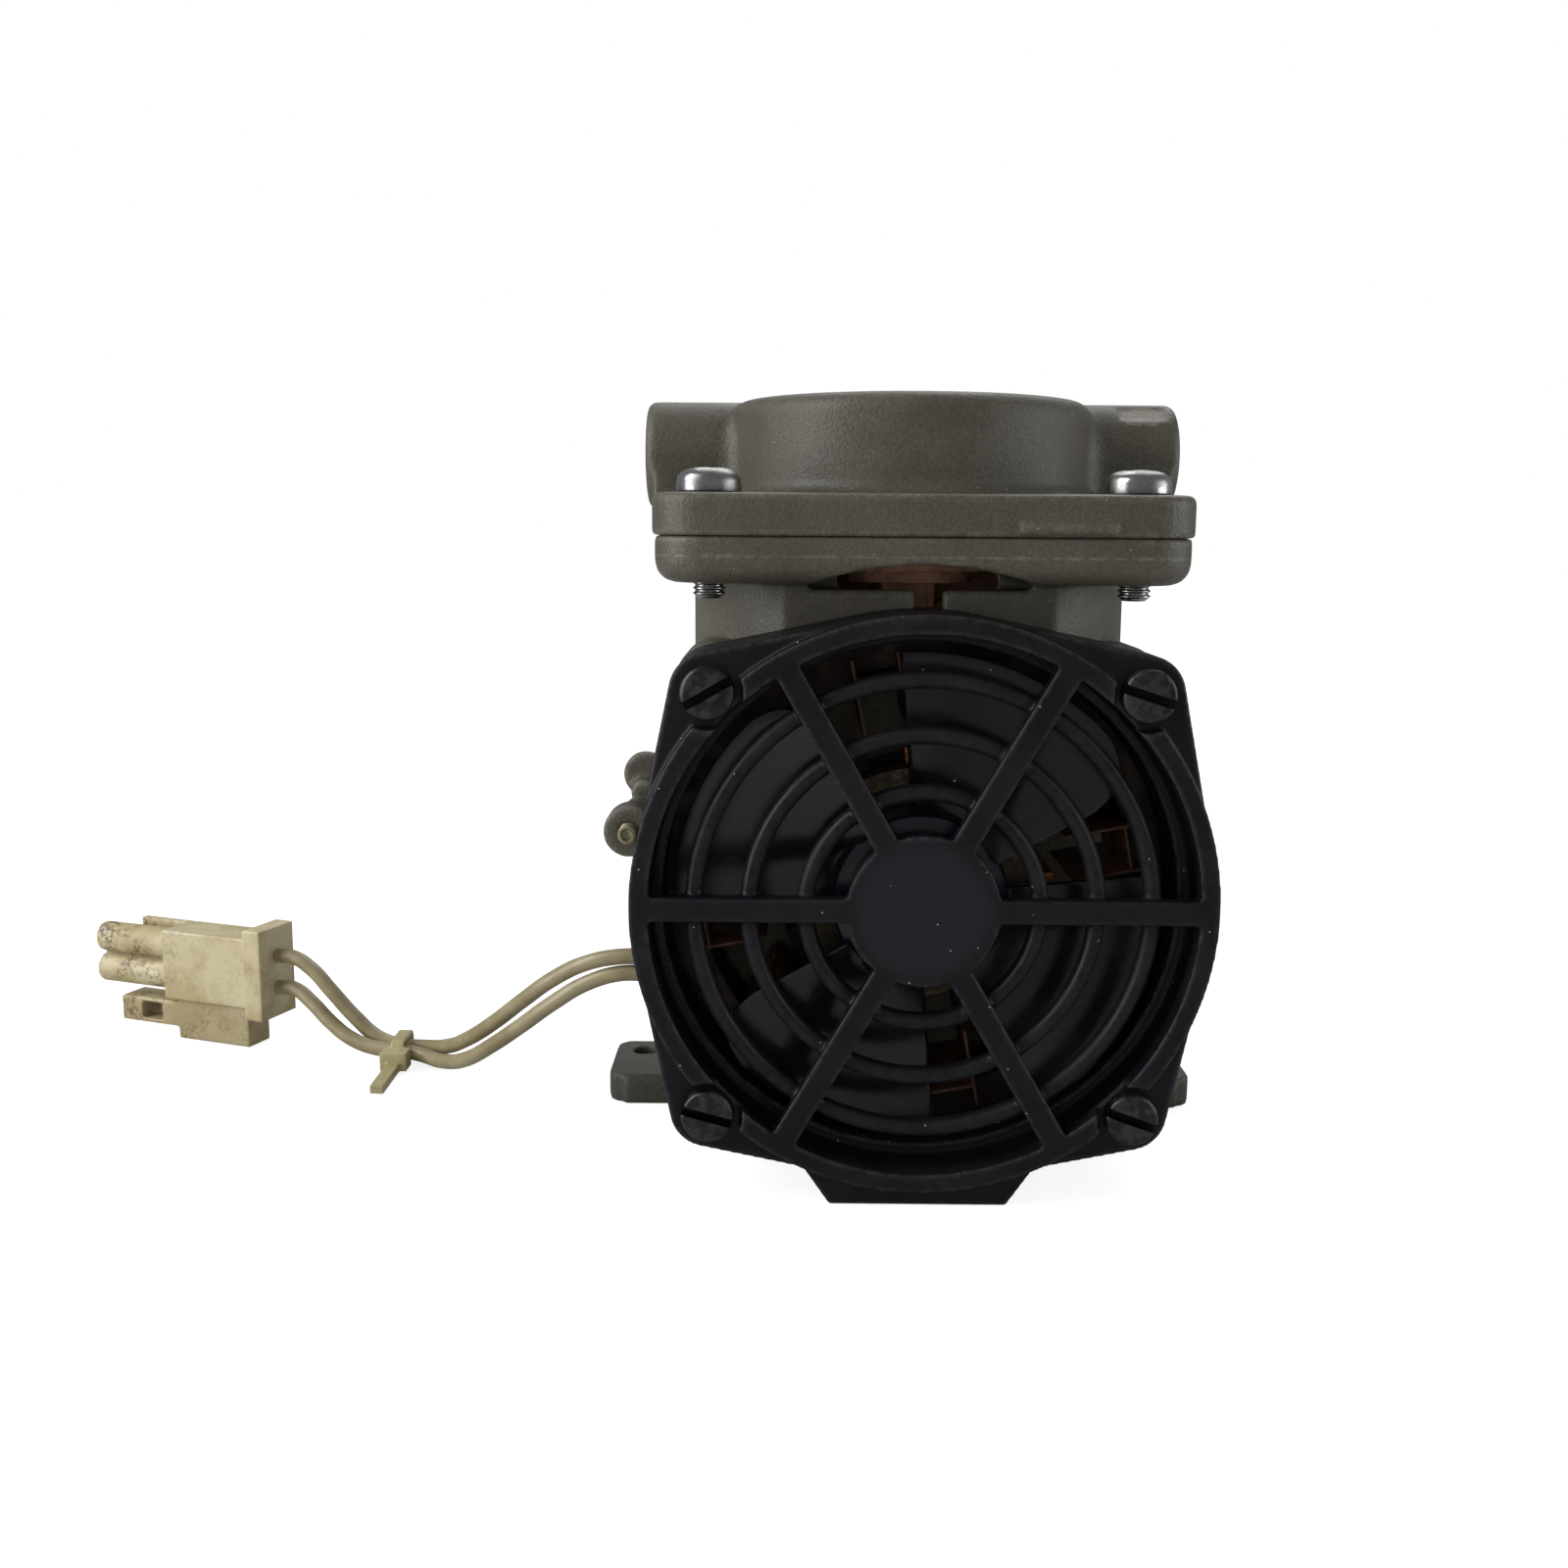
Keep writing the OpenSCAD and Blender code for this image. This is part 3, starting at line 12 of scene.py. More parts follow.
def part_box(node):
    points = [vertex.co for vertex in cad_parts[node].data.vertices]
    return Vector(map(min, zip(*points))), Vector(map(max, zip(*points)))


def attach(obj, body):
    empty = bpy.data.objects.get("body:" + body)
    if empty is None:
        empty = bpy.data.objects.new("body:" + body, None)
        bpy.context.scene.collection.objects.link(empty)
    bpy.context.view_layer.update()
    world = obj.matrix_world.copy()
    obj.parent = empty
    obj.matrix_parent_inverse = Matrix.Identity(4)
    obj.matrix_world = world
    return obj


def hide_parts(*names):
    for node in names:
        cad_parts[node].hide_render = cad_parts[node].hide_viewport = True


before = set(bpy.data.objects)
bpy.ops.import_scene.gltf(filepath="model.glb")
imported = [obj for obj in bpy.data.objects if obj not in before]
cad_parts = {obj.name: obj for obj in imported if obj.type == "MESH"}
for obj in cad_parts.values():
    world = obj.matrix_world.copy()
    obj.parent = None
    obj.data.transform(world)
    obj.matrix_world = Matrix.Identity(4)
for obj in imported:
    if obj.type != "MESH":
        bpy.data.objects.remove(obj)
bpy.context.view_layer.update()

MM = 0.001
scene = bpy.context.scene


def add_object(name, data):
    """Puts a new object with that data into the scene."""
    made = bpy.data.objects.new(name, data)
    scene.collection.objects.link(made)
    return made


def turn(degrees, axis):
    """The matrix of a turn about one axis."""
    return Matrix.Rotation(math.radians(degrees), 4, axis)


def middle_of(cad_node):
    """The middle of the box round a solid."""
    low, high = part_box(cad_node)
    return (low + high) / 2


# %% [markdown]
# The camera stands a little left of the pump and above it, and looks slightly down. Its lens
# follows from how fast the pump narrows with depth.

# %% Camera
GUARD_FACE_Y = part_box("fan_guard")[0].y
CAMERA_X = -19.5 * MM
CAMERA_BACK = 229.3 * MM
CAMERA_Z = 102.1 * MM
CAMERA_PITCH, CAMERA_YAW, CAMERA_ROLL = 9.19, -0.31, 0.41
LENS_MM, SENSOR_MM = 36.74, 36.0

camera_data = bpy.data.cameras.new("camera")
camera_data.lens = LENS_MM
camera_data.sensor_width = SENSOR_MM
camera_data.clip_start = 0.01
camera = add_object("camera", camera_data)
aim = turn(-CAMERA_YAW, "Z") @ turn(90 - CAMERA_PITCH, "X") @ turn(CAMERA_ROLL, "Z")
camera.matrix_world = Matrix.Translation((CAMERA_X, GUARD_FACE_Y - CAMERA_BACK, CAMERA_Z)) @ aim
scene.camera = camera
print("camera", tuple(round(v, 4) for v in camera.location))

# %% [markdown]
# The ground is white. A broad soft light comes from the upper left and a weaker one from the
# right. Large area lamps give soft edges to the highlights, and the floor turns white for the
# camera while it still takes a shadow.

# %% Floor, world and lamps
def area_lamp(name, place, target, size, power):
    """A square lamp that faces target."""
    data = bpy.data.lights.new(name, "AREA")
    data.energy = power
    data.size = size
    lamp = add_object(name, data)
    way = Vector(target) - Vector(place)
    lamp.matrix_world = Matrix.Translation(place) @ way.to_track_quat("-Z", "Y").to_matrix().to_4x4()
    return lamp


MIDDLE = (0, 0, 0.06)
area_lamp("key", (-0.58, -0.17, 0.52), MIDDLE, 0.45, 3.3)
area_lamp("low", (-0.54, -0.22, 0.11), MIDDLE, 0.3, 1.5)
area_lamp("fill", (0.6, -0.12, 0.16), MIDDLE, 0.4, 1.5)
front = area_lamp("front", (-0.03, -0.34, 0.10), (0, 0, 0.09), 0.12, 0.19)
front.visible_glossy = False
area_lamp("back", (0.1, 0.45, 0.65), MIDDLE, 0.6, 2.3)

world = bpy.data.worlds.new("studio")
scene.world = world
world.use_nodes = True

bpy.ops.mesh.primitive_plane_add(size=6, location=(0, 0, -0.0002))
floor = bpy.context.object
floor.name = "floor"

# %% [markdown]
# A finish is a tree of shader nodes. These helpers add a node, set its sockets and link it in
# one call, so that each finish below reads as a short list of what the surface does.

# %% Helpers for node trees
def fill(tree, made, sockets):
    """Fills the input sockets of a node with values or links."""
    for key, value in sockets.items():
        if isinstance(value, bpy.types.NodeSocket):
            tree.links.new(value, made.inputs[key])
        else:
            made.inputs[key].default_value = value


def node(tree, kind, sockets=None, **settings):
    """Adds a node, sets its options and fills its sockets."""
    made = tree.nodes.new(kind)
    for key, value in settings.items():
        setattr(made, key, value)
    fill(tree, made, sockets or {})
    return made


def new_group(name, inputs, outputs):
    """An empty shader group, its start sockets and its end node. An input of None is a vector."""
    group = bpy.data.node_groups.new(name, "ShaderNodeTree")
    for label, value in inputs.items():
        kind = "NodeSocketVector" if value is None else "NodeSocketFloat"
        socket = group.interface.new_socket(label, in_out="INPUT", socket_type=kind)
        if value is not None:
            socket.default_value = value
    for label in outputs:
        group.interface.new_socket(label, in_out="OUTPUT", socket_type="NodeSocketFloat")
    return group, node(group, "NodeGroupInput").outputs, node(group, "NodeGroupOutput")


def use_group(tree, group, sockets):
    """Places a group in a tree and fills its sockets."""
    return node(tree, "ShaderNodeGroup", sockets, node_tree=group)


print("node helpers ready")

# %% [markdown]
# Masks and mixes need a few kinds of node again and again. Each of these has a short helper
# that gives back the socket, so that one call can stand inside the next.

# %% Short names for common nodes
def ramp(tree, value, low, high, start=0.0, end=1.0):
    """Maps value from low..high to start..end with a soft step."""
    return node(tree, "ShaderNodeMapRange", {
        "Value": value, "From Min": low, "From Max": high, "To Min": start, "To Max": end},
        interpolation_type="SMOOTHSTEP").outputs["Result"]


def blend_colour(tree, factor, first, second):
    """Mixes two colours or colour sockets by a mask."""
    first, second = (value if isinstance(value, bpy.types.NodeSocket) else (*value, 1)
                     for value in (first, second))
    return node(tree, "ShaderNodeMix", {0: factor, 6: first, 7: second}, data_type="RGBA").outputs[2]


def combine(tree, operation, first, second):
    """One Math node on two values or sockets."""
    return node(tree, "ShaderNodeMath", {0: first, 1: second}, operation=operation).outputs[0]


def vector_math(tree, operation, first, second=(0, 0, 0), output="Vector"):
    """One Vector Math node on two vectors or sockets. A length or a dot product is "Value"."""
    return node(tree, "ShaderNodeVectorMath", {0: first, 1: second}, operation=operation).outputs[output]


def part_of(tree, place, axis):
    """One coordinate of a place."""
    return node(tree, "ShaderNodeSeparateXYZ", {"Vector": place}).outputs[axis]


def noise(tree, place, scale, detail=2.0, roughness=0.5):
    """Cloudy noise between 0 and 1."""
    return node(tree, "ShaderNodeTexNoise", {
        "Vector": place, "Scale": scale, "Detail": detail, "Roughness": roughness}).outputs["Fac"]


print("short names ready")

# %% [markdown]
# Four effects are shared. Grain is the pitted skin of a casting or a moulding, patches are
# uneven tone from handling and heat, specks are dust and lint, and edges read a value stored
# on the mesh that is above zero where the form bends out and below zero where it bends in.

# %% Shared effects
grain_group, start, end = new_group(
    "grain", {"Vector": None, "Fine": 1500.0, "Coarse": 300.0, "Coarse Share": 0.4}, ["Height"])
fine = noise(grain_group, start["Vector"], start["Fine"], 3.0, 0.6)
coarse = noise(grain_group, start["Vector"], start["Coarse"])
weighted = combine(grain_group, "MULTIPLY", coarse, start["Coarse Share"])
fill(grain_group, end, {"Height": combine(grain_group, "ADD", fine, weighted)})

patch_group, start, end = new_group(
    "patches", {"Vector": None, "Scale": 60.0, "Low": 0.4, "High": 0.6}, ["Mask"])
cloud = noise(patch_group, start["Vector"], start["Scale"], 5.0, 0.62)
fill(patch_group, end, {"Mask": ramp(patch_group, cloud, start["Low"], start["High"])})

speck_group, start, end = new_group(
    "specks", {"Vector": None, "Scale": 400.0, "Size": 0.12, "Share": 0.1}, ["Mask"])
cells = node(speck_group, "ShaderNodeTexVoronoi", {"Vector": start["Vector"], "Scale": start["Scale"]})
near = combine(speck_group, "LESS_THAN", cells.outputs["Distance"], start["Size"])
split = node(speck_group, "ShaderNodeSeparateColor", {"Color": cells.outputs["Color"]})
chosen = combine(speck_group, "LESS_THAN", split.outputs["Red"], start["Share"])
fill(speck_group, end, {"Mask": combine(speck_group, "MULTIPLY", near, chosen)})

edge_group, start, end = new_group("edges", {"Low": 0.03, "High": 0.2}, ["Edge", "Crevice"])
stored = node(edge_group, "ShaderNodeAttribute", attribute_name="bend")
for label, way in (("Edge", 1.0), ("Crevice", -1.0)):
    bent = combine(edge_group, "MULTIPLY", stored.outputs["Fac"], way)
    strength = node(edge_group, "ShaderNodeMapRange", {
        "Value": bent, "From Min": start["Low"], "From Max": start["High"]})
    fill(edge_group, end, {label: strength.outputs["Result"]})
print("groups", [g.name for g in bpy.data.node_groups])

# %% [markdown]
# Most finishes share one plan: a base colour that drifts to a second one in patches, a
# roughness that drifts the same way, fine grain as bump, dust as specks, worn edges, and darker
# corners, which are dirt on some finishes and painted shade on others, such as the slots of the
# guard's screws. Marks laid over the colour are stains, and also painted shade on the feet and a
# painted sheen on the guard's hub. The plan is a function, and each finish gives it its own
# colours and scales.

# %% The common plan of a finish
def patches(tree, place, scale, low=0.4, high=0.6):
    """The shared patches as a mask. A wider low to high gives softer patches."""
    return use_group(tree, patch_group, {
        "Vector": place, "Scale": scale, "Low": low, "High": high}).outputs["Mask"]


def new_finish(name, metallic=0.0):
    """A material with its tree, its shader and the Object coordinates."""
    material = bpy.data.materials.new(name)
    material.use_nodes = True
    tree = material.node_tree
    shader = tree.nodes["Principled BSDF"]
    shader.inputs["Metallic"].default_value = metallic
    place = node(tree, "ShaderNodeTexCoord").outputs["Object"]
    return material, tree, shader, place


def plan_finish(name, base, drift, rough, metallic=0.0, patch=60, grain=(1500, 300, 0.03), worn=None,
                dirt_and_shade=None, dust=None, stains_and_painted_light=(), specular=0.5, speckle=0.0):
    """A finish on the common plan. grain is (fine scale, coarse scale, depth in millimetres), dust
    is (colour, share, scale), and each mark is a pair of a mask maker and a colour: real staining,
    painted shade and a painted sheen. The crevice colour is soiling on some finishes and painted
    shade in the slots of the guard's screws."""
    material, tree, shader, place = new_finish(name, metallic)
    mask = patches(tree, place, patch)
    colour = blend_colour(tree, mask, base, drift)
    if worn or dirt_and_shade:
        edges = use_group(tree, edge_group, {})
        if worn:
            broken = patches(tree, place, 9 * patch, 0.3)
            share = combine(tree, "MULTIPLY", edges.outputs["Edge"], broken)
            colour = blend_colour(tree, share, colour, worn)
        if dirt_and_shade:
            colour = blend_colour(tree, edges.outputs["Crevice"], colour, dirt_and_shade)
    for mask_maker, mark_colour in stains_and_painted_light:
        colour = blend_colour(tree, mask_maker(tree, place), colour, mark_colour)
    if dust:
        dust_colour, share, scale = dust
        specks = use_group(tree, speck_group, {"Vector": place, "Scale": scale, "Share": share})
        colour = blend_colour(tree, specks.outputs["Mask"], colour, dust_colour)
    fine, coarse, depth = grain
    height = use_group(tree, grain_group, {"Vector": place, "Fine": fine, "Coarse": coarse})
    if speckle:
        tone = ramp(tree, height.outputs["Height"], 0.55, 0.85, 1 - speckle, 1 + speckle)
        colour = vector_math(tree, "MULTIPLY", colour, tone)
    relief = node(tree, "ShaderNodeBump", {
        "Height": height.outputs["Height"], "Distance": depth * MM, "Strength": 1.0})
    fill(tree, shader, {"Base Color": colour, "Roughness": ramp(tree, mask, 0, 1, *rough),
                        "Normal": relief.outputs["Normal"], "Specular IOR Level": specular})
    return material


print("plan ready")

# %% [markdown]
# The casting is painted grey over a fine cast skin. Some of its colour goes by place: inside
# the neck the paint stops and the metal is brown, a rubbed line runs round the lower flange, a
# recess on the right boss is bare, and painted shade darkens the feet. A mask for each could be
# painted by hand, but a few sums on the Object coordinates stay sharp at any size.

# %% Places on the castings
HEAD_AXIS_Y = middle_of("valve_plate").y
HEAD_LOW, HEAD_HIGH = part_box("cylinder_head")
SEAM_Z = HEAD_LOW.z
NECK_INNER_R = 27.9 * MM
NECK_FLOOR_Z = 79 * MM
FACING_SLACK = 3 * MM
PARTING_DROP = 3.0 * MM
MARK_X = 38.4
MARK_PLACE = (MARK_X * MM, HEAD_AXIS_Y - 4.8 * MM, HEAD_HIGH.z - 2.2 * MM)
MARK_SIZE = (4.2 * MM, 4.0 * MM, 2.0 * MM)
print("seam at", round(SEAM_Z / MM, 2), "mm, head axis at", round(HEAD_AXIS_Y / MM, 2), "mm")

# %% [markdown]
# Each mask is a small function that takes a tree and the Object coordinates, and gives back a
# socket that is above 0 where the mark is. Noise breaks the rims of worn marks.

# %% Masks of the castings
def away_from_line(tree, place, keep, centre):
    """The way from a line to a place. keep is 0 along the line, and centre is a point on it."""
    return vector_math(tree, "SUBTRACT", vector_math(tree, "MULTIPLY", place, keep), centre)


def inside_neck(tree, place):
    """A mask that is 1 on the inner wall and floor of the neck, which face the head's axis."""
    out = away_from_line(tree, place, (1, 1, 0), (0, HEAD_AXIS_Y, 0))
    reach = vector_math(tree, "LENGTH", out, output="Value")
    normal = node(tree, "ShaderNodeTexCoord").outputs["Normal"]
    outward = vector_math(tree, "DOT_PRODUCT", out, normal, "Value")
    height = part_of(tree, place, "Z")
    mask = combine(tree, "LESS_THAN", reach, NECK_INNER_R)
    mask = combine(tree, "MULTIPLY", mask, combine(tree, "LESS_THAN", outward, FACING_SLACK))
    mask = combine(tree, "MULTIPLY", mask, combine(tree, "GREATER_THAN", height, NECK_FLOOR_Z))
    return combine(tree, "MULTIPLY", mask, combine(tree, "LESS_THAN", height, SEAM_Z))


def parting_line(tree, place):
    """A thin rubbed line round the lower flange, where the two halves of the mould met."""
    off = combine(tree, "SUBTRACT", part_of(tree, place, "Z"), SEAM_Z - PARTING_DROP)
    width = ramp(tree, noise(tree, place, 170.0, 5.0, 0.7), 0.45, 0.72, 0.13 * MM, 0.4 * MM)
    near = combine(tree, "LESS_THAN", combine(tree, "ABSOLUTE", off, 0.0), width)
    faint = combine(tree, "MULTIPLY", patches(tree, place, 700.0, 0.35), 0.45)
    return combine(tree, "MULTIPLY", near, faint)


def bare_mark(tree, place):
    """The bare recess on the right port boss, as a rough-edged patch."""
    share = vector_math(tree, "DIVIDE", vector_math(tree, "SUBTRACT", place, MARK_PLACE), MARK_SIZE)
    size = vector_math(tree, "LENGTH", share, output="Value")
    limit = ramp(tree, patches(tree, place, 500.0, 0.35), 0, 1, 0.75, 1.1)
    return combine(tree, "MULTIPLY", combine(tree, "LESS_THAN", size, limit), 0.4)


def shaded_feet(tree, place):
    """Painted shade that darkens the feet and fades out above them."""
    return ramp(tree, part_of(tree, place, "Z"), 6 * MM, 16 * MM, 0.7, 0.0)


print("masks of the castings ready")

# %% [markdown]
# The paint is a warm dark grey, speckled by its rough ground and rubbed pale on the edges. Bare
# metal inside the neck is stained brown, and so is the rubber sheet that is clamped there.

# %% Finishes of the castings
STAIN_BROWN = (0.46, 0.26, 0.175)
# Painted shade darkens the paint on the feet and fades out above them.
cast_paint = plan_finish(
    "cast_paint", (0.072, 0.065, 0.048), (0.084, 0.077, 0.058), (0.36, 0.48), patch=45,
    grain=(2200, 2000, 0.12), speckle=0.15, worn=(0.17, 0.16, 0.13), dirt_and_shade=(0.045, 0.038, 0.030),
    dust=((0.42, 0.40, 0.37), 0.02, 1300), specular=0.35,
    stains_and_painted_light=[(parting_line, (0.20, 0.185, 0.15)), (bare_mark, (0.24, 0.22, 0.17)),
            (shaded_feet, (0.032, 0.029, 0.023)), (inside_neck, STAIN_BROWN)])
stained_metal = plan_finish(
    "stained_metal", STAIN_BROWN, (0.30, 0.165, 0.11), (0.55, 0.8), patch=260, grain=(2400, 700, 0.06),
    dust=((0.32, 0.23, 0.17), 0.12, 1600))
stained_sheet = plan_finish(
    "stained_sheet", (0.40, 0.26, 0.175), (0.22, 0.135, 0.09), (0.6, 0.85), patch=320,
    grain=(2600, 900, 0.06), dust=((0.55, 0.42, 0.33), 0.15, 1500))
print("castings", cast_paint.name, stained_metal.name)

# %% [markdown]
# Mouldings are smoother than castings. The guard is a nearly black plastic with a faint sheen,
# pale lint and lightly rubbed edges, and its flat hub has a painted sheen, a lighter and bluer
# grey. The fan is warmer and glossier, and its cup is a cooler black.

# %% Finishes of the guard and the fan
SHAFT_Z = middle_of("shaft").z


def hub_sheen(tree, place):
    """The flat hub with a painted sheen: a lighter, bluer grey."""
    out = away_from_line(tree, place, (1, 0, 1), (0, 0, SHAFT_Z))
    return ramp(tree, vector_math(tree, "LENGTH", out, output="Value"), 8 * MM, 12 * MM, 1.0, 0.0)


# The hub's lighter, bluer colour is a painted sheen.
guard_plastic = plan_finish(
    "guard_plastic", (0.0048, 0.0049, 0.0068), (0.0075, 0.0076, 0.0100), (0.36, 0.5), patch=70,
    grain=(2200, 500, 0.012), worn=(0.045, 0.045, 0.05), dirt_and_shade=(0.004, 0.004, 0.005),
    dust=((0.33, 0.31, 0.28), 0.03, 1000), specular=0.2,
    stains_and_painted_light=[(hub_sheen, (0.0125, 0.0132, 0.0162))])
fan_plastic = plan_finish(
    "fan_plastic", (0.0055, 0.005, 0.005), (0.0095, 0.0082, 0.0078), (0.18, 0.28), patch=40,
    grain=(900, 200, 0.01), dust=((0.25, 0.22, 0.2), 0.02, 600))
cup_plastic = plan_finish(
    "cup_plastic", (0.004, 0.005, 0.009), (0.007, 0.009, 0.014), (0.25, 0.35), grain=(900, 300, 0.01))
print("guard and fan", guard_plastic.name, fan_plastic.name, cup_plastic.name)

# %% [markdown]
# The leads have a yellowed jacket, and the connector and the tie are natural nylon, which lets
# a little light in. The connector has gathered brown dirt on its far end and its latch side.

# %% Finishes of the leads, the connector and the rubber
PLUG_LOW, PLUG_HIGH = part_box("connector_housing")


def darker_low_side(tree, place):
    """The plug turns a darker yellow towards its bottom, on the latch side."""
    return ramp(tree, part_of(tree, place, "Z"), PLUG_LOW.z + 4 * MM, PLUG_LOW.z + 10 * MM, 0.6, 0.0)


def grubby_ends(tree, place):
    """Brown soiling on the far end and the latch side of the plug, broken into specks."""
    far = ramp(tree, part_of(tree, place, "X"), PLUG_LOW.x + 4 * MM, PLUG_HIGH.x - 14 * MM, 1.0, 0.0)
    low = ramp(tree, part_of(tree, place, "Z"), PLUG_LOW.z, PLUG_LOW.z + 10 * MM, 0.8, 0.15)
    grit = ramp(tree, noise(tree, place, 950.0, 6.0, 0.75), 0.46, 0.58)
    amount = combine(tree, "MULTIPLY", combine(tree, "MAXIMUM", far, low),
                     patches(tree, place, 160.0, 0.42))
    return combine(tree, "MULTIPLY", amount, grit)


lead_pvc = plan_finish(
    "lead_pvc", (0.31, 0.265, 0.155), (0.215, 0.175, 0.09), (0.3, 0.42), patch=70,
    grain=(1600, 300, 0.01), dust=((0.30, 0.24, 0.17), 0.03, 1100))
# The plug turns a darker yellow towards its bottom, on the latch side.
connector_nylon = plan_finish(
    "connector_nylon", (0.52, 0.46, 0.29), (0.40, 0.33, 0.17), (0.38, 0.55), patch=90,
    grain=(1500, 350, 0.02), dirt_and_shade=(0.10, 0.065, 0.038), dust=((0.16, 0.11, 0.065), 0.22, 1500),
    stains_and_painted_light=[(darker_low_side, (0.27, 0.21, 0.10)), (grubby_ends, (0.10, 0.066, 0.034))])
tie_nylon = plan_finish(
    "tie_nylon", (0.52, 0.46, 0.25), (0.42, 0.36, 0.18), (0.25, 0.38), patch=200,
    grain=(1500, 400, 0.01), dirt_and_shade=(0.22, 0.17, 0.09))
for material, socket, value in ((tie_nylon, "Transmission Weight", 0.25),
                                (connector_nylon, "Subsurface Weight", 0.15),
                                (connector_nylon, "Subsurface Scale", 0.002)):
    material.node_tree.nodes["Principled BSDF"].inputs[socket].default_value = value
black_rubber = plan_finish(
    "black_rubber", (0.020, 0.019, 0.018), (0.034, 0.031, 0.028), (0.5, 0.7), patch=150,
    grain=(2000, 500, 0.02))
gasket_sheet = plan_finish(
    "gasket_sheet", (0.06, 0.055, 0.05), (0.09, 0.08, 0.07), (0.6, 0.8), patch=300,
    grain=(3000, 900, 0.03))
print("leads, connector and rubber", lead_pvc.name, connector_nylon.name, black_rubber.name)

# %% [markdown]
# The metals differ in how they were made. Zinc-plated screws are bright with a fine haze, the
# guard's screws are dark and oily, and ground and spring steel have the finest grain. The cast
# rod is duller, and tin, copper and zinc are darkened by age.

# %% Finishes of the metals
bright_steel = plan_finish(
    "bright_steel", (0.36, 0.365, 0.37), (0.25, 0.245, 0.235), (0.22, 0.38), metallic=1.0, patch=400,
    grain=(2500, 600, 0.012), dust=((0.2, 0.15, 0.1), 0.05, 2500))
# Its crevice colour paints the slots of the guard's screws black, as painted shade.
dark_steel = plan_finish(
    "dark_steel", (0.030, 0.028, 0.028), (0.065, 0.060, 0.056), (0.32, 0.46), metallic=0.85, patch=500,
    grain=(2600, 900, 0.03), dust=((0.26, 0.22, 0.18), 0.05, 2200), worn=(0.20, 0.19, 0.18),
    dirt_and_shade=(0.004, 0.0035, 0.003))
ground_steel = plan_finish(
    "ground_steel", (0.60, 0.60, 0.59), (0.50, 0.50, 0.48), (0.18, 0.3), metallic=1.0, patch=250,
    grain=(5200, 900, 0.006))
spring_steel = plan_finish(
    "spring_steel", (0.45, 0.48, 0.53), (0.38, 0.40, 0.44), (0.2, 0.3), metallic=1.0, patch=500,
    grain=(5000, 900, 0.005))
rod_alloy = plan_finish(
    "rod_alloy", (0.52, 0.52, 0.51), (0.42, 0.42, 0.41), (0.35, 0.5), metallic=1.0, patch=150,
    grain=(1800, 600, 0.04))
tinned_metal = plan_finish(
    "tinned_metal", (0.17, 0.14, 0.095), (0.10, 0.08, 0.055), (0.35, 0.55), metallic=0.8, patch=300,
    grain=(2200, 700, 0.03))
copper_wire = plan_finish(
    "copper_wire", (0.52, 0.20, 0.075), (0.38, 0.13, 0.045), (0.22, 0.36), metallic=0.9, patch=500,
    grain=(1500, 600, 0.01))
aged_zinc = plan_finish(
    "aged_zinc", (0.42, 0.38, 0.25), (0.30, 0.26, 0.16), (0.3, 0.5), metallic=0.9, patch=600,
    grain=(2500, 700, 0.03))
terminal_brass = plan_finish(
    "terminal_brass", (0.60, 0.44, 0.16), (0.42, 0.30, 0.11), (0.25, 0.4), metallic=1.0, patch=500,
    grain=(2500, 700, 0.01))
print("metals ready")

# %% [markdown]
# The coils are bound with brown tape and lined with brown paper. The stator and the rotor are
# stacks of thin sheets, so a wave along the shaft gives them their seams.

# %% Finishes of the windings' cover and the stacked sheets
SHEET_T = 0.5 * MM
SEAM_DEPTH = 0.06 * MM
coil_tape = plan_finish(
    "coil_tape", (0.075, 0.034, 0.018), (0.045, 0.021, 0.012), (0.35, 0.55), patch=250,
    grain=(2000, 500, 0.04))
liner_paper = plan_finish(
    "liner_paper", (0.085, 0.038, 0.020), (0.05, 0.023, 0.014), (0.4, 0.6), patch=200,
    grain=(2500, 600, 0.03))


def laminated(name, base, edge):
    """Stacked sheets: stripes across the shaft in colour and relief."""
    material, tree, shader, place = new_finish(name, 0.7)
    phase = combine(tree, "MULTIPLY", part_of(tree, place, "Y"), 2 * math.pi / SHEET_T)
    seam = ramp(tree, combine(tree, "SINE", phase, 0.0), 0.55, 0.95)
    mask = patches(tree, place, 150.0)
    colour = blend_colour(tree, mask, base, tuple(0.7 * c for c in base))
    colour = blend_colour(tree, seam, colour, edge)
    relief = node(tree, "ShaderNodeBump", {"Height": seam, "Distance": SEAM_DEPTH, "Strength": 1.0},
                  invert=True)
    fill(tree, shader, {"Base Color": colour, "Roughness": ramp(tree, mask, 0, 1, 0.35, 0.55),
                        "Normal": relief.outputs["Normal"]})
    return material


lamination = laminated("lamination", (0.036, 0.026, 0.021), (0.010, 0.008, 0.007))
print("materials", len(bpy.data.materials))

# %% [markdown]
# The floor is pale and keeps the shadow. For the camera it glows a little, and more with the
# distance, so that it melts into the world behind it. The world adds little light of its own,
# and looks white to the camera.

# %% Floor and world finish
FLOOR_PALE = (0.46, 0.46, 0.455, 1)
NEAR_GLOW, FAR_GLOW = 0.84, 1.0
floor_material = bpy.data.materials.new("floor_pale")
floor_material.use_nodes = True
tree = floor_material.node_tree
pale = tree.nodes["Principled BSDF"]
fill(tree, pale, {"Base Color": FLOOR_PALE, "Roughness": 0.9, "Specular IOR Level": 0.0})
place = node(tree, "ShaderNodeTexCoord").outputs["Object"]
distance = vector_math(tree, "LENGTH", place, output="Value")
seen = node(tree, "ShaderNodeLightPath").outputs["Is Camera Ray"]
glow = combine(tree, "MULTIPLY", ramp(tree, distance, 0.15, 0.5, NEAR_GLOW, FAR_GLOW), seen)
light = node(tree, "ShaderNodeEmission", {"Color": (1, 1, 1, 1), "Strength": glow})
both = node(tree, "ShaderNodeAddShader", {0: pale.outputs[0], 1: light.outputs[0]})
fill(tree, tree.nodes["Material Output"], {"Surface": both.outputs[0]})
floor.data.materials.append(floor_material)

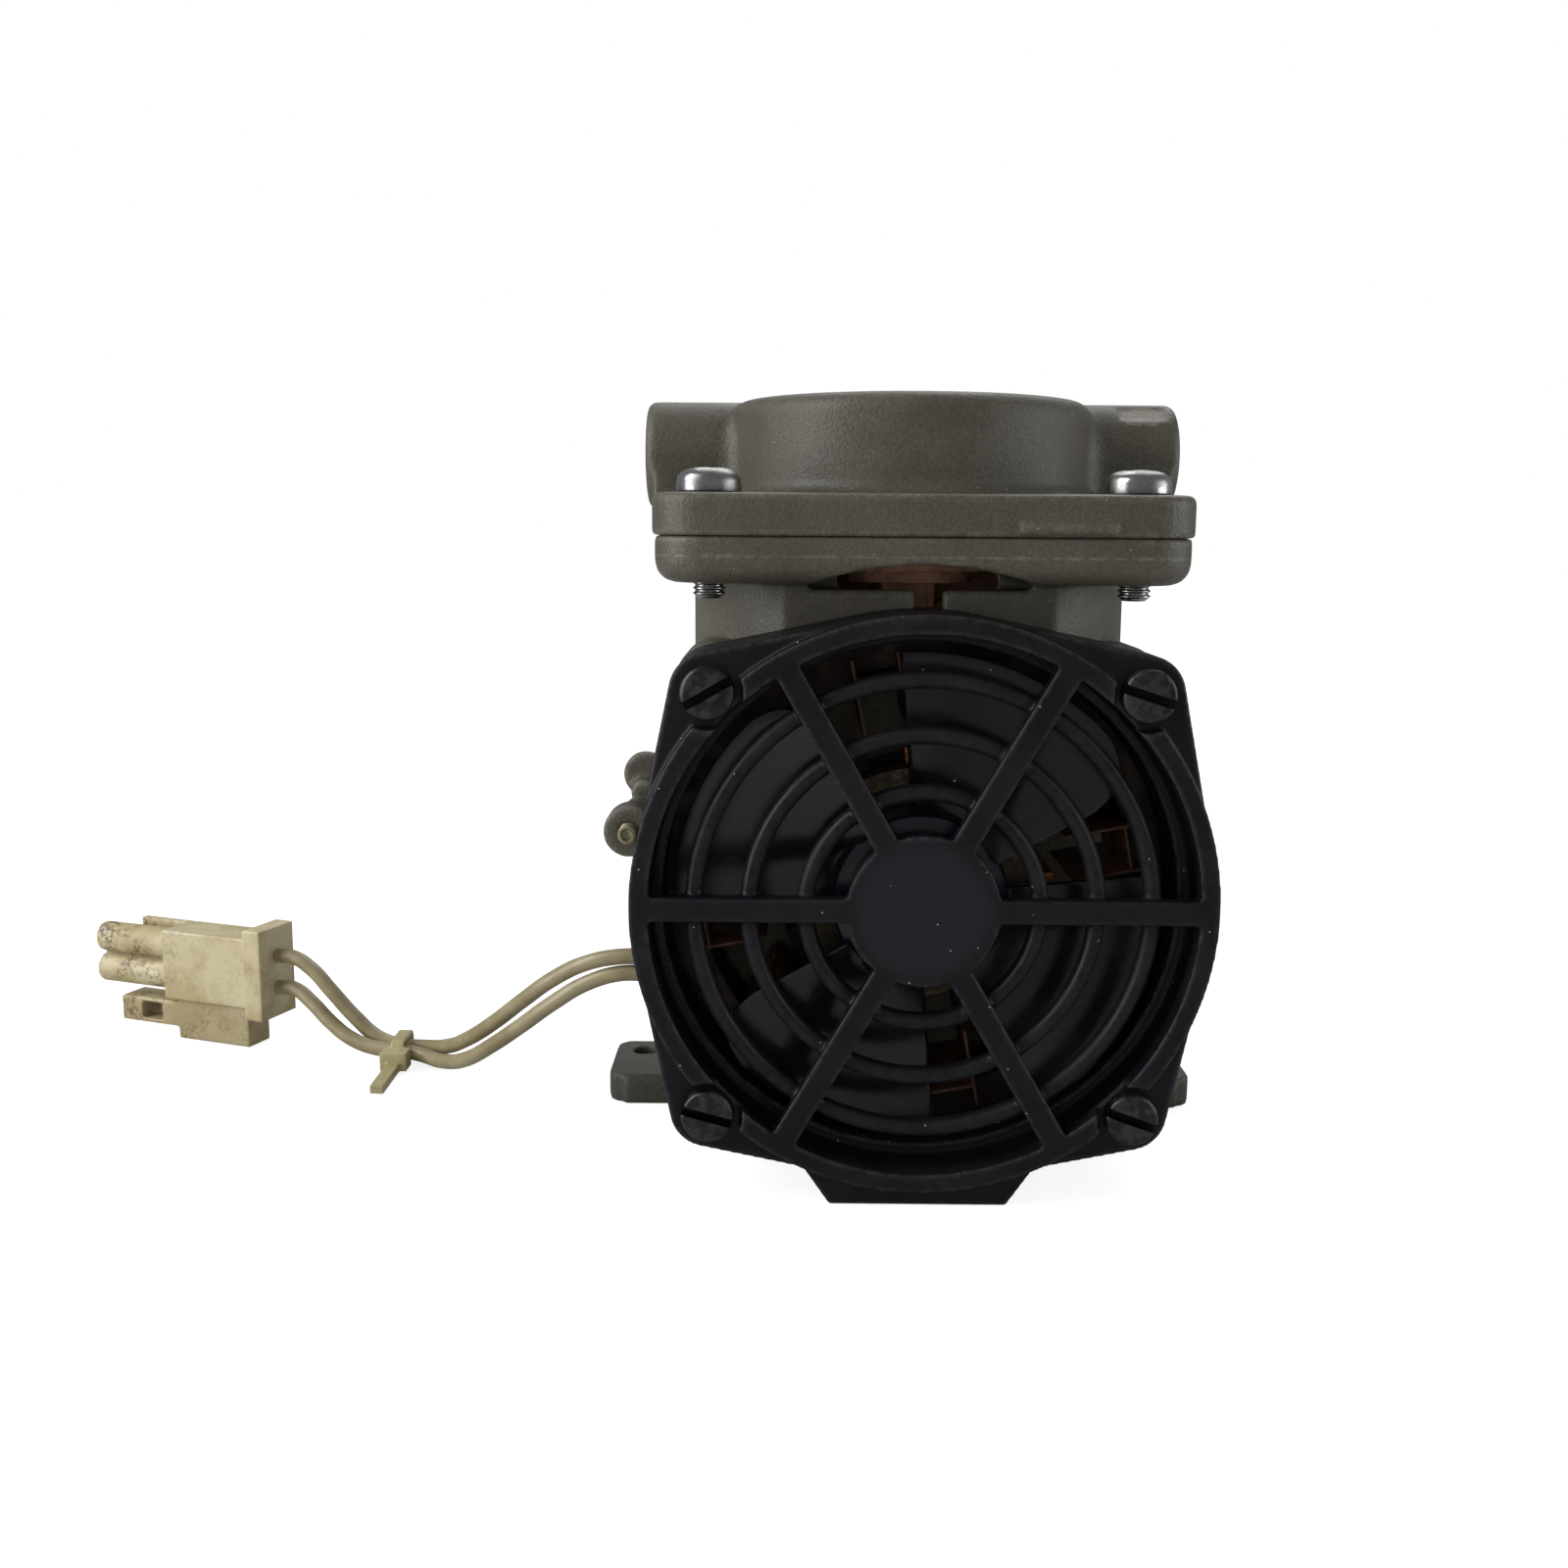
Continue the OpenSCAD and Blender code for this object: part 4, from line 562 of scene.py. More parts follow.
tree = world.node_tree
path = node(tree, "ShaderNodeLightPath")
dim = tree.nodes["Background"]
fill(tree, dim, {"Color": (0.95, 0.96, 1.0, 1), "Strength": 0.27})
white = node(tree, "ShaderNodeBackground", {"Color": (1, 1, 1, 1), "Strength": 1.0})
direct = combine(tree, "MAXIMUM", path.outputs["Is Camera Ray"], path.outputs["Is Transmission Ray"])
choose = node(tree, "ShaderNodeMixShader", {0: direct, 1: dim.outputs[0], 2: white.outputs[0]})
fill(tree, tree.nodes["World Output"], {"Surface": choose.outputs[0]})
print("floor and world ready")

# %% [markdown]
# Every new piece ends with the same steps. It stands at the origin with its place in its mesh,
# rides on a body of the frame, takes a finish, and stands for the nodes that it replaces.

# %% Helpers for pieces
def focus(piece):
    """Makes piece the only selected object, and the active one."""
    bpy.ops.object.select_all(action="DESELECT")
    piece.select_set(True)
    bpy.context.view_layer.objects.active = piece


def open_mesh(piece):
    """Enters edit mode with the whole of piece selected."""
    focus(piece)
    bpy.ops.object.mode_set(mode="EDIT")
    bpy.ops.mesh.select_all(action="SELECT")


def close_mesh():
    """Turns all faces outwards and leaves edit mode."""
    bpy.ops.mesh.select_all(action="SELECT")
    bpy.ops.mesh.normals_make_consistent(inside=False)
    bpy.ops.object.mode_set(mode="OBJECT")


def triangles(piece):
    """How many triangles a piece has."""
    piece.data.calc_loop_triangles()
    return len(piece.data.loop_triangles)


def finish_piece(piece, body, material, slot, *nodes):
    """Gives piece its finish, its body and the nodes that it stands for. slot is not used."""
    piece.data.materials.clear()
    piece.data.materials.append(material)
    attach(piece, body)
    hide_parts(*nodes)
    print(piece.name, triangles(piece), "triangles")


def use_modifier(piece, kind, **settings):
    """Adds one modifier and applies it."""
    focus(piece)
    modifier = piece.modifiers.new(kind.lower(), kind)
    for key, value in settings.items():
        setattr(modifier, key, value)
    bpy.ops.object.modifier_apply(modifier=modifier.name)


def join(pieces, name):
    """Joins several objects into one."""
    focus(pieces[0])
    for other in pieces[1:]:
        other.select_set(True)
    bpy.ops.object.join()
    pieces[0].name = name
    return pieces[0]


def repeated(piece, name, places):
    """Replaces piece by copies of it, one for each matrix in places, joined into one."""
    copies = []
    for place in places:
        data = piece.data.copy()
        data.transform(place)
        copies.append(add_object(piece.name, data))
    bpy.data.objects.remove(piece, do_unlink=True)
    return join(copies, name)


def round_edges(piece, width, angle, **settings):
    """Rounds the edges that are sharper than angle, over a width in millimetres."""
    use_modifier(piece, "BEVEL", width=width * MM, segments=2, limit_method="ANGLE",
                 angle_limit=math.radians(angle), **settings)


def smooth_by(piece, angle=35):
    """Shades piece smooth, apart from the edges that are sharper than angle."""
    focus(piece)
    bpy.ops.object.shade_smooth_by_angle(angle=math.radians(angle))


print("piece helpers ready")

# %% [markdown]
# The two leads come first, because a cord has a fixed length and leads the eye. Each is one
# smooth curve through the same points as its solid: out of the grommet, down under its own
# weight, through the tie on the floor, and up into the connector.

# %% Leads
LEAD_D = 2.8 * MM
UPPER_ROUTE = [
    (-43.8, -19.5, 28.5), (-49, -19.5, 28.5), (-55, -18.5, 27), (-61, -16, 23.5), (-67, -12.5, 18.5),
    (-73, -8, 13), (-79, -2.5, 8), (-85, 4.5, 4), (-90, 8.5, 2.6), (-94, 9.5, 2.5), (-99, 10.5, 3.6),
    (-104, 11.8, 7.4), (-108.5, 12.6, 12.2), (-112.5, 13.4, 16.4), (-116.2, 14.62, 18.38),
    (-120, 16, 18.38)]
LOWER_ROUTE = [
    (-43.8, -19.5, 25.5), (-49, -19.5, 25.5), (-55, -19, 23.5), (-61, -17.5, 19.5), (-67, -14.5, 14.5),
    (-73, -10.5, 9.5), (-79, -5.5, 5), (-85, 1, 2.4), (-90, 5, 2.3), (-94, 6.5, 2.5), (-99, 7.5, 2.6),
    (-104, 9, 3.9), (-108.5, 10.9, 6.6), (-112.5, 12.9, 9.8), (-116.2, 14.62, 12.02), (-120, 16, 12.02)]


def new_curve(name, width, kind, fineness):
    """A round curve with an empty spline. A higher fineness makes it rounder."""
    data = bpy.data.curves.new(name, "CURVE")
    data.dimensions = "3D"
    data.bevel_depth = width / 2
    data.bevel_resolution = fineness
    data.resolution_u = 10
    data.use_fill_caps = True
    return add_object(name, data), data.splines.new(kind)


def lead_curve(name, route):
    """A round lead along the route, and its length."""
    piece, spline = new_curve(name, LEAD_D, "BEZIER", 6)
    spline.bezier_points.add(len(route) - 1)
    for point, place in zip(spline.bezier_points, route):
        point.co = Vector(place) * MM
        point.handle_left_type = "AUTO"
        point.handle_right_type = "AUTO"
    return piece, spline.calc_length()


lead_pieces = []
for name, route, cad_node in (("lead_a", UPPER_ROUTE, "lead_upper"),
                              ("lead_b", LOWER_ROUTE, "lead_lower")):
    piece, length = lead_curve(name, route)
    piece.data.materials.append(lead_pvc)
    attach(piece, "body")
    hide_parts(cad_node)
    lead_pieces.append((piece, length, route[0]))
    print(name, "length", round(length / MM, 1), "mm")

# %% [markdown]
# Screws are turned forms. A disc is extruded upwards ring by ring, and each ring is scaled to
# the radius that the profile gives, as on a lathe. Each kind is modelled once and copied to its
# places. A ring with a free section is spun about the axis instead.

# %% Turned and spun forms
def turned(name, profile, sides=48):
    """A closed form turned about Z. profile is a list of (radius, height) in millimetres."""
    radius, height = profile[0]
    bpy.ops.mesh.primitive_circle_add(vertices=sides, radius=radius * MM, fill_type="NGON")
    piece = bpy.context.object
    piece.name = name
    open_mesh(piece)
    bpy.ops.transform.translate(value=(0, 0, height * MM))
    for new_radius, new_height in profile[1:]:
        bpy.ops.mesh.extrude_region_move(
            TRANSFORM_OT_translate={"value": (0, 0, (new_height - height) * MM)})
        size = new_radius / radius
        bpy.ops.transform.resize(value=(size, size, 1), center_override=(0, 0, new_height * MM))
        radius, height = new_radius, new_height
    close_mesh()
    return piece


def spun(name, outline, steps=96):
    """A ring form: a closed outline of (radius, height) in millimetres, spun about Z."""
    count = len(outline)
    data = bpy.data.meshes.new(name)
    data.from_pydata([(r * MM, 0, z * MM) for r, z in outline],
                     [(i, (i + 1) % count) for i in range(count)], [])
    piece = add_object(name, data)
    open_mesh(piece)
    bpy.ops.mesh.spin(steps=steps, angle=2 * math.pi, center=(0, 0, 0), axis=(0, 0, 1))
    bpy.ops.mesh.select_all(action="SELECT")
    bpy.ops.mesh.remove_doubles(threshold=0.001 * MM)
    close_mesh()
    return piece


def thread(outer, root, low, high, pitch):
    """The profile of thread rings between two heights."""
    rings = []
    z = low
    while z + pitch <= high:
        rings += [(root, z), (outer, z + 0.35 * pitch), (outer, z + 0.5 * pitch),
                  (root, z + 0.85 * pitch)]
        z += pitch
    return rings


TO_FRONT = turn(90, "X")
TO_BACK = turn(-90, "X")
print("turned forms ready")

# %% [markdown]
# Recesses are cut with a box or a turned form, and the cutter is removed after the cut. A thin
# curved plate starts as a flat grid. Each of its points goes where a formula puts it, and one
# extrusion gives the plate its thickness.

# %% Boxes, cuts and plates
def bar(name, size, place):
    """A box of that size at place, in millimetres."""
    bpy.ops.mesh.primitive_cube_add(size=1)
    piece = bpy.context.object
    piece.name = name
    shape = Matrix.Translation(Vector(place) * MM) @ Matrix.Diagonal((*(Vector(size) * MM), 1))
    piece.data.transform(shape)
    return piece


def cut_away(piece, *cutters):
    """Takes the cutters out of piece and removes them."""
    for cutter in cutters:
        use_modifier(piece, "BOOLEAN", object=cutter, operation="DIFFERENCE", solver="EXACT")
        bpy.data.objects.remove(cutter, do_unlink=True)


def grid_plate(name, columns, rows, place_of, thickness):
    """A plate. place_of puts each grid point by two shares from 0 to 1, and thickness is a way."""
    bpy.ops.mesh.primitive_grid_add(x_subdivisions=columns, y_subdivisions=rows, size=1)
    piece = bpy.context.object
    piece.name = name
    for vertex in piece.data.vertices:
        vertex.co = place_of(vertex.co.x + 0.5, vertex.co.y + 0.5)
    open_mesh(piece)
    bpy.ops.mesh.extrude_region_move(TRANSFORM_OT_translate={"value": thickness})
    close_mesh()
    return piece


print("cuts and plates ready")

# %% [markdown]
# The castings and the guard have soft corners everywhere, because a mould can't be sharp. A
# bevel would need clean edges, and these solids have holes and ribs that meet at any angle. So
# a merged copy of each solid is rebuilt on a fine grid, smoothed a little and thinned. How much
# each point bends is stored on the mesh, and the finishes read it for wear, and for dirt and
# painted shade in the hollows.

# %% Copies of solids, and how they bend
def copy_of(node_name, piece_name):
    """A copy of a CAD node with its loose triangles merged into a closed mesh."""
    piece = add_object(piece_name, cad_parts[node_name].data.copy())
    open_mesh(piece)
    bpy.ops.mesh.remove_doubles(threshold=0.002 * MM)
    bpy.ops.object.mode_set(mode="OBJECT")
    if piece.data.has_custom_normals:
        bpy.ops.mesh.customdata_custom_splitnormals_clear()
    return piece


def note_bends(piece, rounds=3):
    """Stores how far each vertex bends out or in as the attribute "bend"."""
    mesh = piece.data
    places = np.empty(3 * len(mesh.vertices))
    mesh.vertices.foreach_get("co", places)
    normals = np.empty(3 * len(mesh.vertices))
    mesh.vertex_normals.foreach_get("vector", normals)
    ends = np.empty(2 * len(mesh.edges), int)
    mesh.edges.foreach_get("vertices", ends)
    places, normals = places.reshape(-1, 3), normals.reshape(-1, 3)
    first, second = ends.reshape(-1, 2).T
    span = places[second] - places[first]
    span /= np.maximum(np.linalg.norm(span, axis=1, keepdims=True), 1e-9)
    count = len(places)
    bend = np.bincount(first, -(normals[first] * span).sum(1), count)
    bend += np.bincount(second, (normals[second] * span).sum(1), count)
    share = np.maximum(np.bincount(ends, minlength=count), 1)
    bend /= share
    for _ in range(rounds):
        total = bend + np.bincount(first, bend[second], count) + np.bincount(second, bend[first], count)
        bend = total / (1 + share)
    stored = mesh.attributes.get("bend") or mesh.attributes.new("bend", "FLOAT", "POINT")
    stored.data.foreach_set("value", bend.astype(np.float32))
    return np.percentile(bend, (2, 50, 98)).round(3)


print("copies ready")

# %% [markdown]
# A skin is made in a fixed order. Cuts come first, added forms join next, and then the grid
# closes over both. Thinning comes last, when the corners are soft.

# %% Skins of the castings and the guard
def cast_skin(node_name, piece_name, material, slot, voxel, smoothing, most=185000, spread=3,
              added=(), cut=()):
    """A copy of a node with soft corners. Forms in added melt into it, and forms in cut leave it."""
    piece = copy_of(node_name, piece_name)
    cut_away(piece, *cut)
    if added:
        piece = join([piece, *added], piece_name)
    use_modifier(piece, "REMESH", mode="VOXEL", voxel_size=voxel)
    use_modifier(piece, "SMOOTH", factor=0.5, iterations=smoothing)
    made = triangles(piece)
    if made > most:
        use_modifier(piece, "DECIMATE", ratio=most / made)
    focus(piece)
    bpy.ops.object.shade_smooth()
    print(piece_name, "grid triangles", made, "bends", note_bends(piece, spread))
    finish_piece(piece, "body", material, slot, node_name)
    return piece


print("skins ready")

# %% [markdown]
# The drum of the head runs into each port boss in a wide hollow curve, which a casting needs to
# fill well. Four curved plates stand over the corners, and the fine grid melts them into the
# drum and the bosses. Towards the top the curve gets tighter, as the boss rounds off.

# %% Fillets beside the port bosses
DRUM_R = 30.5
PORT_BOSS_R = 9.0
PORT_Z = HEAD_HIGH.z / MM - PORT_BOSS_R
FILLET_R, FILLET_TAPER, FILLET_SINK = 5.0, 0.7, 2.5
FILLET_LOW, FILLET_H = PORT_Z - 7.2, 13.6


def boss_fillet(side, face):
    """A curved plate over one corner. side is -1 or 1 along X, and face is -1 or 1 along Y."""
    def place_of(round_share, height_share):
        z = FILLET_LOW + FILLET_H * height_share
        radius = FILLET_R * (1 - FILLET_TAPER * height_share ** 4)
        y = radius + math.sqrt(PORT_BOSS_R ** 2 - max(0.0, z - PORT_Z) ** 2)
        x = math.sqrt((DRUM_R + radius) ** 2 - y ** 2)
        angle = -math.pi / 2 - round_share * (math.pi / 2 - math.atan2(y, x))
        return (side * (x + radius * math.cos(angle)) * MM,
                HEAD_AXIS_Y + face * (y + radius * math.sin(angle)) * MM, z * MM)

    sink = (-side * FILLET_SINK * MM, -face * FILLET_SINK * MM, 0)
    return grid_plate("boss_fillet", 10, 16, place_of, sink)


fillets = [boss_fillet(side, face) for side in (-1, 1) for face in (-1, 1)]
print("fillets", len(fillets), "of radius", FILLET_R, "mm")

# %% [markdown]
# Three small forms tell this casting from a plain one: a low raised pad on the front of the
# upper flange, a shallow recess in the right boss, and an arch through which the inside of the
# neck shows above the guard. The arch is one large disc, cut off flat below.

# %% Pad, recess and arch
FLANGE_FRONT = HEAD_LOW.y / MM
PAD_SIZE = (13.4, 1.6, 1.6)
PAD_X, PAD_OUT, PAD_RISE = 20.9, 0.15, 1.4
RECESS_SIZE = (8.4, 1.2, 4.6)
RECESS_LEAN = 58
ARCH_R, ARCH_DEPTH, ARCH_FLOOR = 50.4, 26, 92.3
BELOW_SIZE, BELOW_Y = (120, 80, 120), -45

raised_pad = bar("raised_pad", PAD_SIZE, (PAD_X, FLANGE_FRONT + PAD_OUT, SEAM_Z / MM + PAD_RISE))
recess = bar("recess", RECESS_SIZE, (0, 0, 0))
lean = turn(-RECESS_LEAN, "X")
boss_middle = Vector((MARK_X * MM, HEAD_AXIS_Y, PORT_Z * MM))
recess.data.transform(Matrix.Translation(boss_middle + lean @ Vector((0, -PORT_BOSS_R * MM, 0))) @ lean)
arch = turned("arch", [(ARCH_R, 0), (ARCH_R, ARCH_DEPTH)], 128)
arch.data.transform(Matrix.Translation((0, GUARD_FACE_Y, SHAFT_Z)) @ TO_BACK)
cut_away(arch, bar("below", BELOW_SIZE, (0, BELOW_Y, ARCH_FLOOR - BELOW_SIZE[2] / 2)))
print("pad, recess and arch ready")

# %% [markdown]
# Each grid is as fine as its piece needs. The guard's thin ribs need the finest of these four,
# and the rear cover is plain, so it gets by with fewer triangles.

# %% Castings and guard
cast_skin("crankcase", "casting", cast_paint, "cast_metal", 0.56 * MM, 3, cut=[arch])
cast_skin("cylinder_head", "head_casting", cast_paint, "cast_metal", 0.48 * MM, 3,
          added=[raised_pad, *fillets], cut=[recess])
cast_skin("rear_cover", "cover_casting", cast_paint, "cast_metal", 0.5 * MM, 4, 90000)
cast_skin("fan_guard", "guard_moulding", guard_plastic, "black_plastic", 0.35 * MM, 2)

# %% [markdown]
# Four pan heads hold the head. A cross is cut in each, and each stands at a turn of its own, as
# screws do when they are tightened by feel. Their threads show below the flange.

# %% Head screws
PAN_R, PAN_H = 5.0, 3.8
CROSS_L, CROSS_W, CROSS_H = 5.6, 1.1, 2.4
low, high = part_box("head_screws")
LOW, TOP = low.z / MM, high.z / MM
SEAT = TOP - PAN_H
pan = turned("head_screw", [
    (1.7, LOW), (2.1, LOW + 0.3), *thread(2.5, 2.12, LOW + 0.4, LOW + 3.6, 0.8), (2.45, LOW + 4.2),
    (2.45, SEAT), (4.7, SEAT), (4.95, SEAT + 0.25), (PAN_R, SEAT + 0.7), (4.97, SEAT + 1.6),
    (4.8, SEAT + 2.3), (4.35, SEAT + 2.95), (3.6, SEAT + 3.4), (2.4, SEAT + 3.68), (1.0, TOP)])
cut_away(pan, bar("slot_a", (CROSS_L, CROSS_W, CROSS_H), (0, 0, TOP)),
         bar("slot_b", (CROSS_W, CROSS_L, CROSS_H), (0, 0, TOP)))
smooth_by(pan)
SCREW_X = (high.x - low.x) / 2 - PAN_R * MM
FRONT_Y, BACK_Y = low.y + PAN_R * MM, high.y - PAN_R * MM
pans = repeated(pan, "pan_screws", [
    Matrix.Translation((x, y, 0)) @ Matrix.Rotation(angle, 4, "Z")
    for x, y, angle in ((-SCREW_X, FRONT_Y, 0.35), (SCREW_X, FRONT_Y, 0.9),
                        (SCREW_X, BACK_Y, 0.1), (-SCREW_X, BACK_Y, 1.3))])
finish_piece(pans, "body", bright_steel, "bright_steel", "head_screws")

# %% [markdown]
# The guard is held by slotted cheese heads. Their slots are painted black as shade, so the
# bend that the finish reads is set directly to its lowest there.

# %% Guard screws
CHEESE_R = 4.0
SLOT_L, SLOT_W, SLOT_DEPTH = 10, 1.35, 1.5
low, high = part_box("guard_screws")
LENGTH = high.y / MM - low.y / MM
cheese = turned("guard_screw", [
    (1.4, 0), (1.9, 0.5), *thread(2.0, 1.7, 0.6, LENGTH - 14, 0.7), (1.98, LENGTH - 13),
    (1.98, LENGTH - 2.6), (3.8, LENGTH - 2.6), (CHEESE_R, LENGTH - 2.4), (CHEESE_R, LENGTH - 0.7),
    (3.9, LENGTH - 0.35), (3.6, LENGTH - 0.1), (3.2, LENGTH)])
cut_away(cheese, bar("slot", (SLOT_L, SLOT_W, 2 * SLOT_DEPTH), (0, 0, LENGTH)))
round_edges(cheese, 0.12, 50)
smooth_by(cheese)
slot_shade = cheese.data.attributes.new("bend", "FLOAT", "POINT")
for vertex in cheese.data.vertices:
    across, depth = abs(vertex.co.y) / MM, LENGTH - vertex.co.z / MM
    if across < 0.55 * SLOT_W and depth > 0.4 * SLOT_DEPTH:
        slot_shade.data[vertex.index].value = -1.0
CORNER = (high.x - low.x) / 2 - CHEESE_R * MM
MIDDLE_Z = middle_of("guard_screws").z
cheeses = repeated(cheese, "cheese_screws", [
    Matrix.Translation((x * CORNER, high.y, MIDDLE_Z + z * CORNER)) @ TO_FRONT @ turn(angle, "Z")
    for x, z, angle in ((1, 1, -18), (-1, 1, 30), (-1, -1, -15), (1, -1, -20))])
finish_piece(cheeses, "body", dark_steel, "dark_steel", "guard_screws")

# %% [markdown]
# Smaller metal and moulded pieces keep the shape of their solids, and a bevel rounds their
# edges. The list gives each piece its solid, the width of its edges, its body, finish and slot.

# %% Pieces with rounded edges
SHARP, FLAT = 40, 0.5


def soft_copy(cad_node, name, width, body, material, slot):
    """A copy of a node with its flat faces joined and its edges rounded, finished and placed."""
    piece = copy_of(cad_node, name)
    open_mesh(piece)
    bpy.ops.mesh.dissolve_limited(angle_limit=math.radians(FLAT))
    bpy.ops.object.mode_set(mode="OBJECT")
    round_edges(piece, width, SHARP, miter_outer="MITER_ARC", use_clamp_overlap=True)
    smooth_by(piece, SHARP)
    finish_piece(piece, body, material, slot, cad_node)


ROUNDED = [
    ("fan_clip", "fan_clip_ring", 0.1, "rotor", spring_steel, "spring_steel"),
    ("rear_cover_screws", "cover_screws", 0.25, "body", bright_steel, "bright_steel"),
    ("coil_cores", "taped_coils", 0.35, "body", coil_tape, "coil_tape"),
    ("slot_liners", "paper_liners", 0.1, "body", liner_paper, "liner_paper"),
    ("shading_rings", "shading_straps", 0.12, "body", copper_wire, "copper"),
    ("rotor_end_rings", "cage_rings", 0.2, "rotor", tinned_metal, "tinned_metal"),
    ("lower_washer", "clamp_washer", 0.25, "rod", stained_metal, "bright_steel"),
    ("clamp_dish", "clamp_plate", 0.3, "rod", rod_alloy, "rod_alloy"),
    ("connecting_rod", "cast_rod", 0.4, "rod", stained_metal, "rod_alloy"),
    ("eccentric", "turned_eccentric", 0.2, "rotor", ground_steel, "ground_steel"),
    ("counterweight", "turned_weight", 0.25, "rotor", ground_steel, "ground_steel"),
    ("lead_grommet", "rubber_grommet", 0.3, "body", black_rubber, "black_rubber"),
    ("connector_terminals", "brass_sockets", 0.1, "body", terminal_brass, "terminal_brass"),
]
for row in ROUNDED:
    soft_copy(*row)

# %% [markdown]
# The ball bearings, the shaft, the valves and the stacked sheets have the right shape as solids,
# and hardly show. They keep their meshes and only take a finish.

# %% Finishes of the solids that stay
STAYING = [
    (ground_steel, ("shaft", "bearing_outer_rings", "bearing_balls", "bearing_inner_rings",
                    "rod_bearing_outer", "rod_bearing_balls", "rod_bearing_inner", "valve_plate")),
    (spring_steel, ("inlet_reed", "outlet_reed")),
    (bright_steel, ("reed_clamps",)),
    (dark_steel, ("clamp_screw", "eccentric_screw", "stator_pins")),
    (lamination, ("rotor_core", "stator_core")),
    (gasket_sheet, ("head_gasket",)),
]
for material, cad_nodes in STAYING:
    for cad_node in cad_nodes:
        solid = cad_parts[cad_node]
        if not solid.material_slots:
            solid.data.materials.append(material)
        for held in solid.material_slots:
            held.material = material
    print(material.name, "on", *cad_nodes)

# %% [markdown]
# The fan is a cup with four broad blades. A flat grid becomes one blade: its columns go round
# the shaft, its rows go outwards, and it leans back as it goes round. Extruding it gives the
# thickness, and the outer corner that leads is cut off in an arc.

# %% Fan
FAN_R, FAN_DEPTH = 37.6, 8.4
FAN_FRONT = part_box("fan")[0].y / MM
CUP_R, CUP_BACK = 13.5, 1.0
BLADE_T, BLADE_SINK = 1.2, 1.0
BLADE_START, BLADE_SPAN = 29, 66
CORNER_SHARE, CORNER_R = 0.24, 9


def blade_edge(u):
    """Radius of the blade's outer edge at a share u of its span."""
    missing = max(0.0, 1 - u / CORNER_SHARE)
    return FAN_R - CORNER_R * (1 - math.sqrt(max(0.0, 1 - missing ** 2)))


def blade_place(u, w):
    """A point of the blade's front, at a share u round the shaft and w outwards."""
    inner = CUP_R - BLADE_SINK
    radius = inner + (blade_edge(u) - inner) * w
    angle = math.radians(BLADE_START + BLADE_SPAN * u)
    depth = FAN_FRONT + (FAN_DEPTH - BLADE_T) * u
    return (radius * math.cos(angle) * MM, depth * MM, SHAFT_Z + radius * math.sin(angle) * MM)


blade = grid_plate("blade", 40, 12, blade_place, (0, BLADE_T * MM, 0))
round_edges(blade, 0.3, 50)
axis = Matrix.Translation((0, 0, SHAFT_Z))
blades = repeated(blade, "fan_blades", [
    axis @ turn(90 * k, "Y") @ axis.inverted() for k in range(4)])
smooth_by(blades, 40)
finish_piece(blades, "rotor", fan_plastic, "fan_plastic", "fan")

# %% [markdown]
# The cup carries the blades round a sleeve for the shaft. It is hollow behind, as mouldings are,
# to keep its walls even. One outline, spun about the shaft, gives sleeve, face and wall.

# %% Cup of the fan
cup = spun("fan_cup", [
    (3.05, 0.2), (5.8, 0.0), (6.2, 0.25), (6.6, 0.7), (11.9, 0.7), (13.0, 1.0), (13.45, 1.6),
    (CUP_R, 7.8), (11.5, 7.8), (11.4, 2.8), (6.0, 2.6), (6.0, 7.8), (3.05, 7.8)])
cup.data.transform(Matrix.Translation((0, (FAN_FRONT + CUP_BACK) * MM, SHAFT_Z)) @ TO_BACK)
smooth_by(cup)
finish_piece(cup, "rotor", cup_plastic, "fan_plastic", "fan")

# %% [markdown]
# The diaphragm is a moulded rubber sheet. Its middle is clamped to the rod and its rim to the
# case, with a rolled web between them that lets the middle move up and down. The rubber itself
# doesn't bend here: the middle rides on the rod, and the web stays with the case.

# %% Diaphragm
RIM_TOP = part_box("diaphragm")[1].z / MM
CLAMP_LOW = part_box("lower_washer")[1].z / MM
CLAMP_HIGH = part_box("clamp_dish")[0].z / MM
centre = [(2.7, CLAMP_LOW), (16.4, CLAMP_LOW), (16.9, CLAMP_LOW + 0.3), (16.9, CLAMP_HIGH - 0.2),
          (16.4, CLAMP_HIGH), (2.7, CLAMP_HIGH)]
web = [(32.9, RIM_TOP - 1.2), (32.9, RIM_TOP), (26.3, RIM_TOP), (24.8, RIM_TOP - 0.7),
       (22.5, RIM_TOP - 1.9), (20.0, RIM_TOP - 2.45), (17.2, RIM_TOP - 2.6), (16.95, RIM_TOP - 2.9),
       (17.2, RIM_TOP - 3.4), (20.0, RIM_TOP - 3.3), (22.9, RIM_TOP - 2.9), (25.6, RIM_TOP - 1.75),
       (26.9, RIM_TOP - 1.25)]
for name, outline, body in (("diaphragm_centre", centre, "rod"), ("diaphragm_web", web, "body")):
    piece = spun(name, outline)
    piece.data.transform(Matrix.Translation((0, HEAD_AXIS_Y, 0)))
    smooth_by(piece, 50)
    finish_piece(piece, body, stained_sheet, "black_rubber", "diaphragm")

# %% [markdown]
# Each coil is one long wire wound round its pole. It is drawn as a rounded loop that climbs a
# little more than the wire's width in each turn, then made a mesh and copied to all four poles.

# %% Windings
POLE_TURN = 11
WIRE_D, WIRE_PITCH = 0.56, 0.64
LOOP_W, LOOP_L, LOOP_SQUARENESS = 10.48, 11.48, 0.3
COIL_START, TURNS, LOOP_POINTS = 24.45, 12, 28


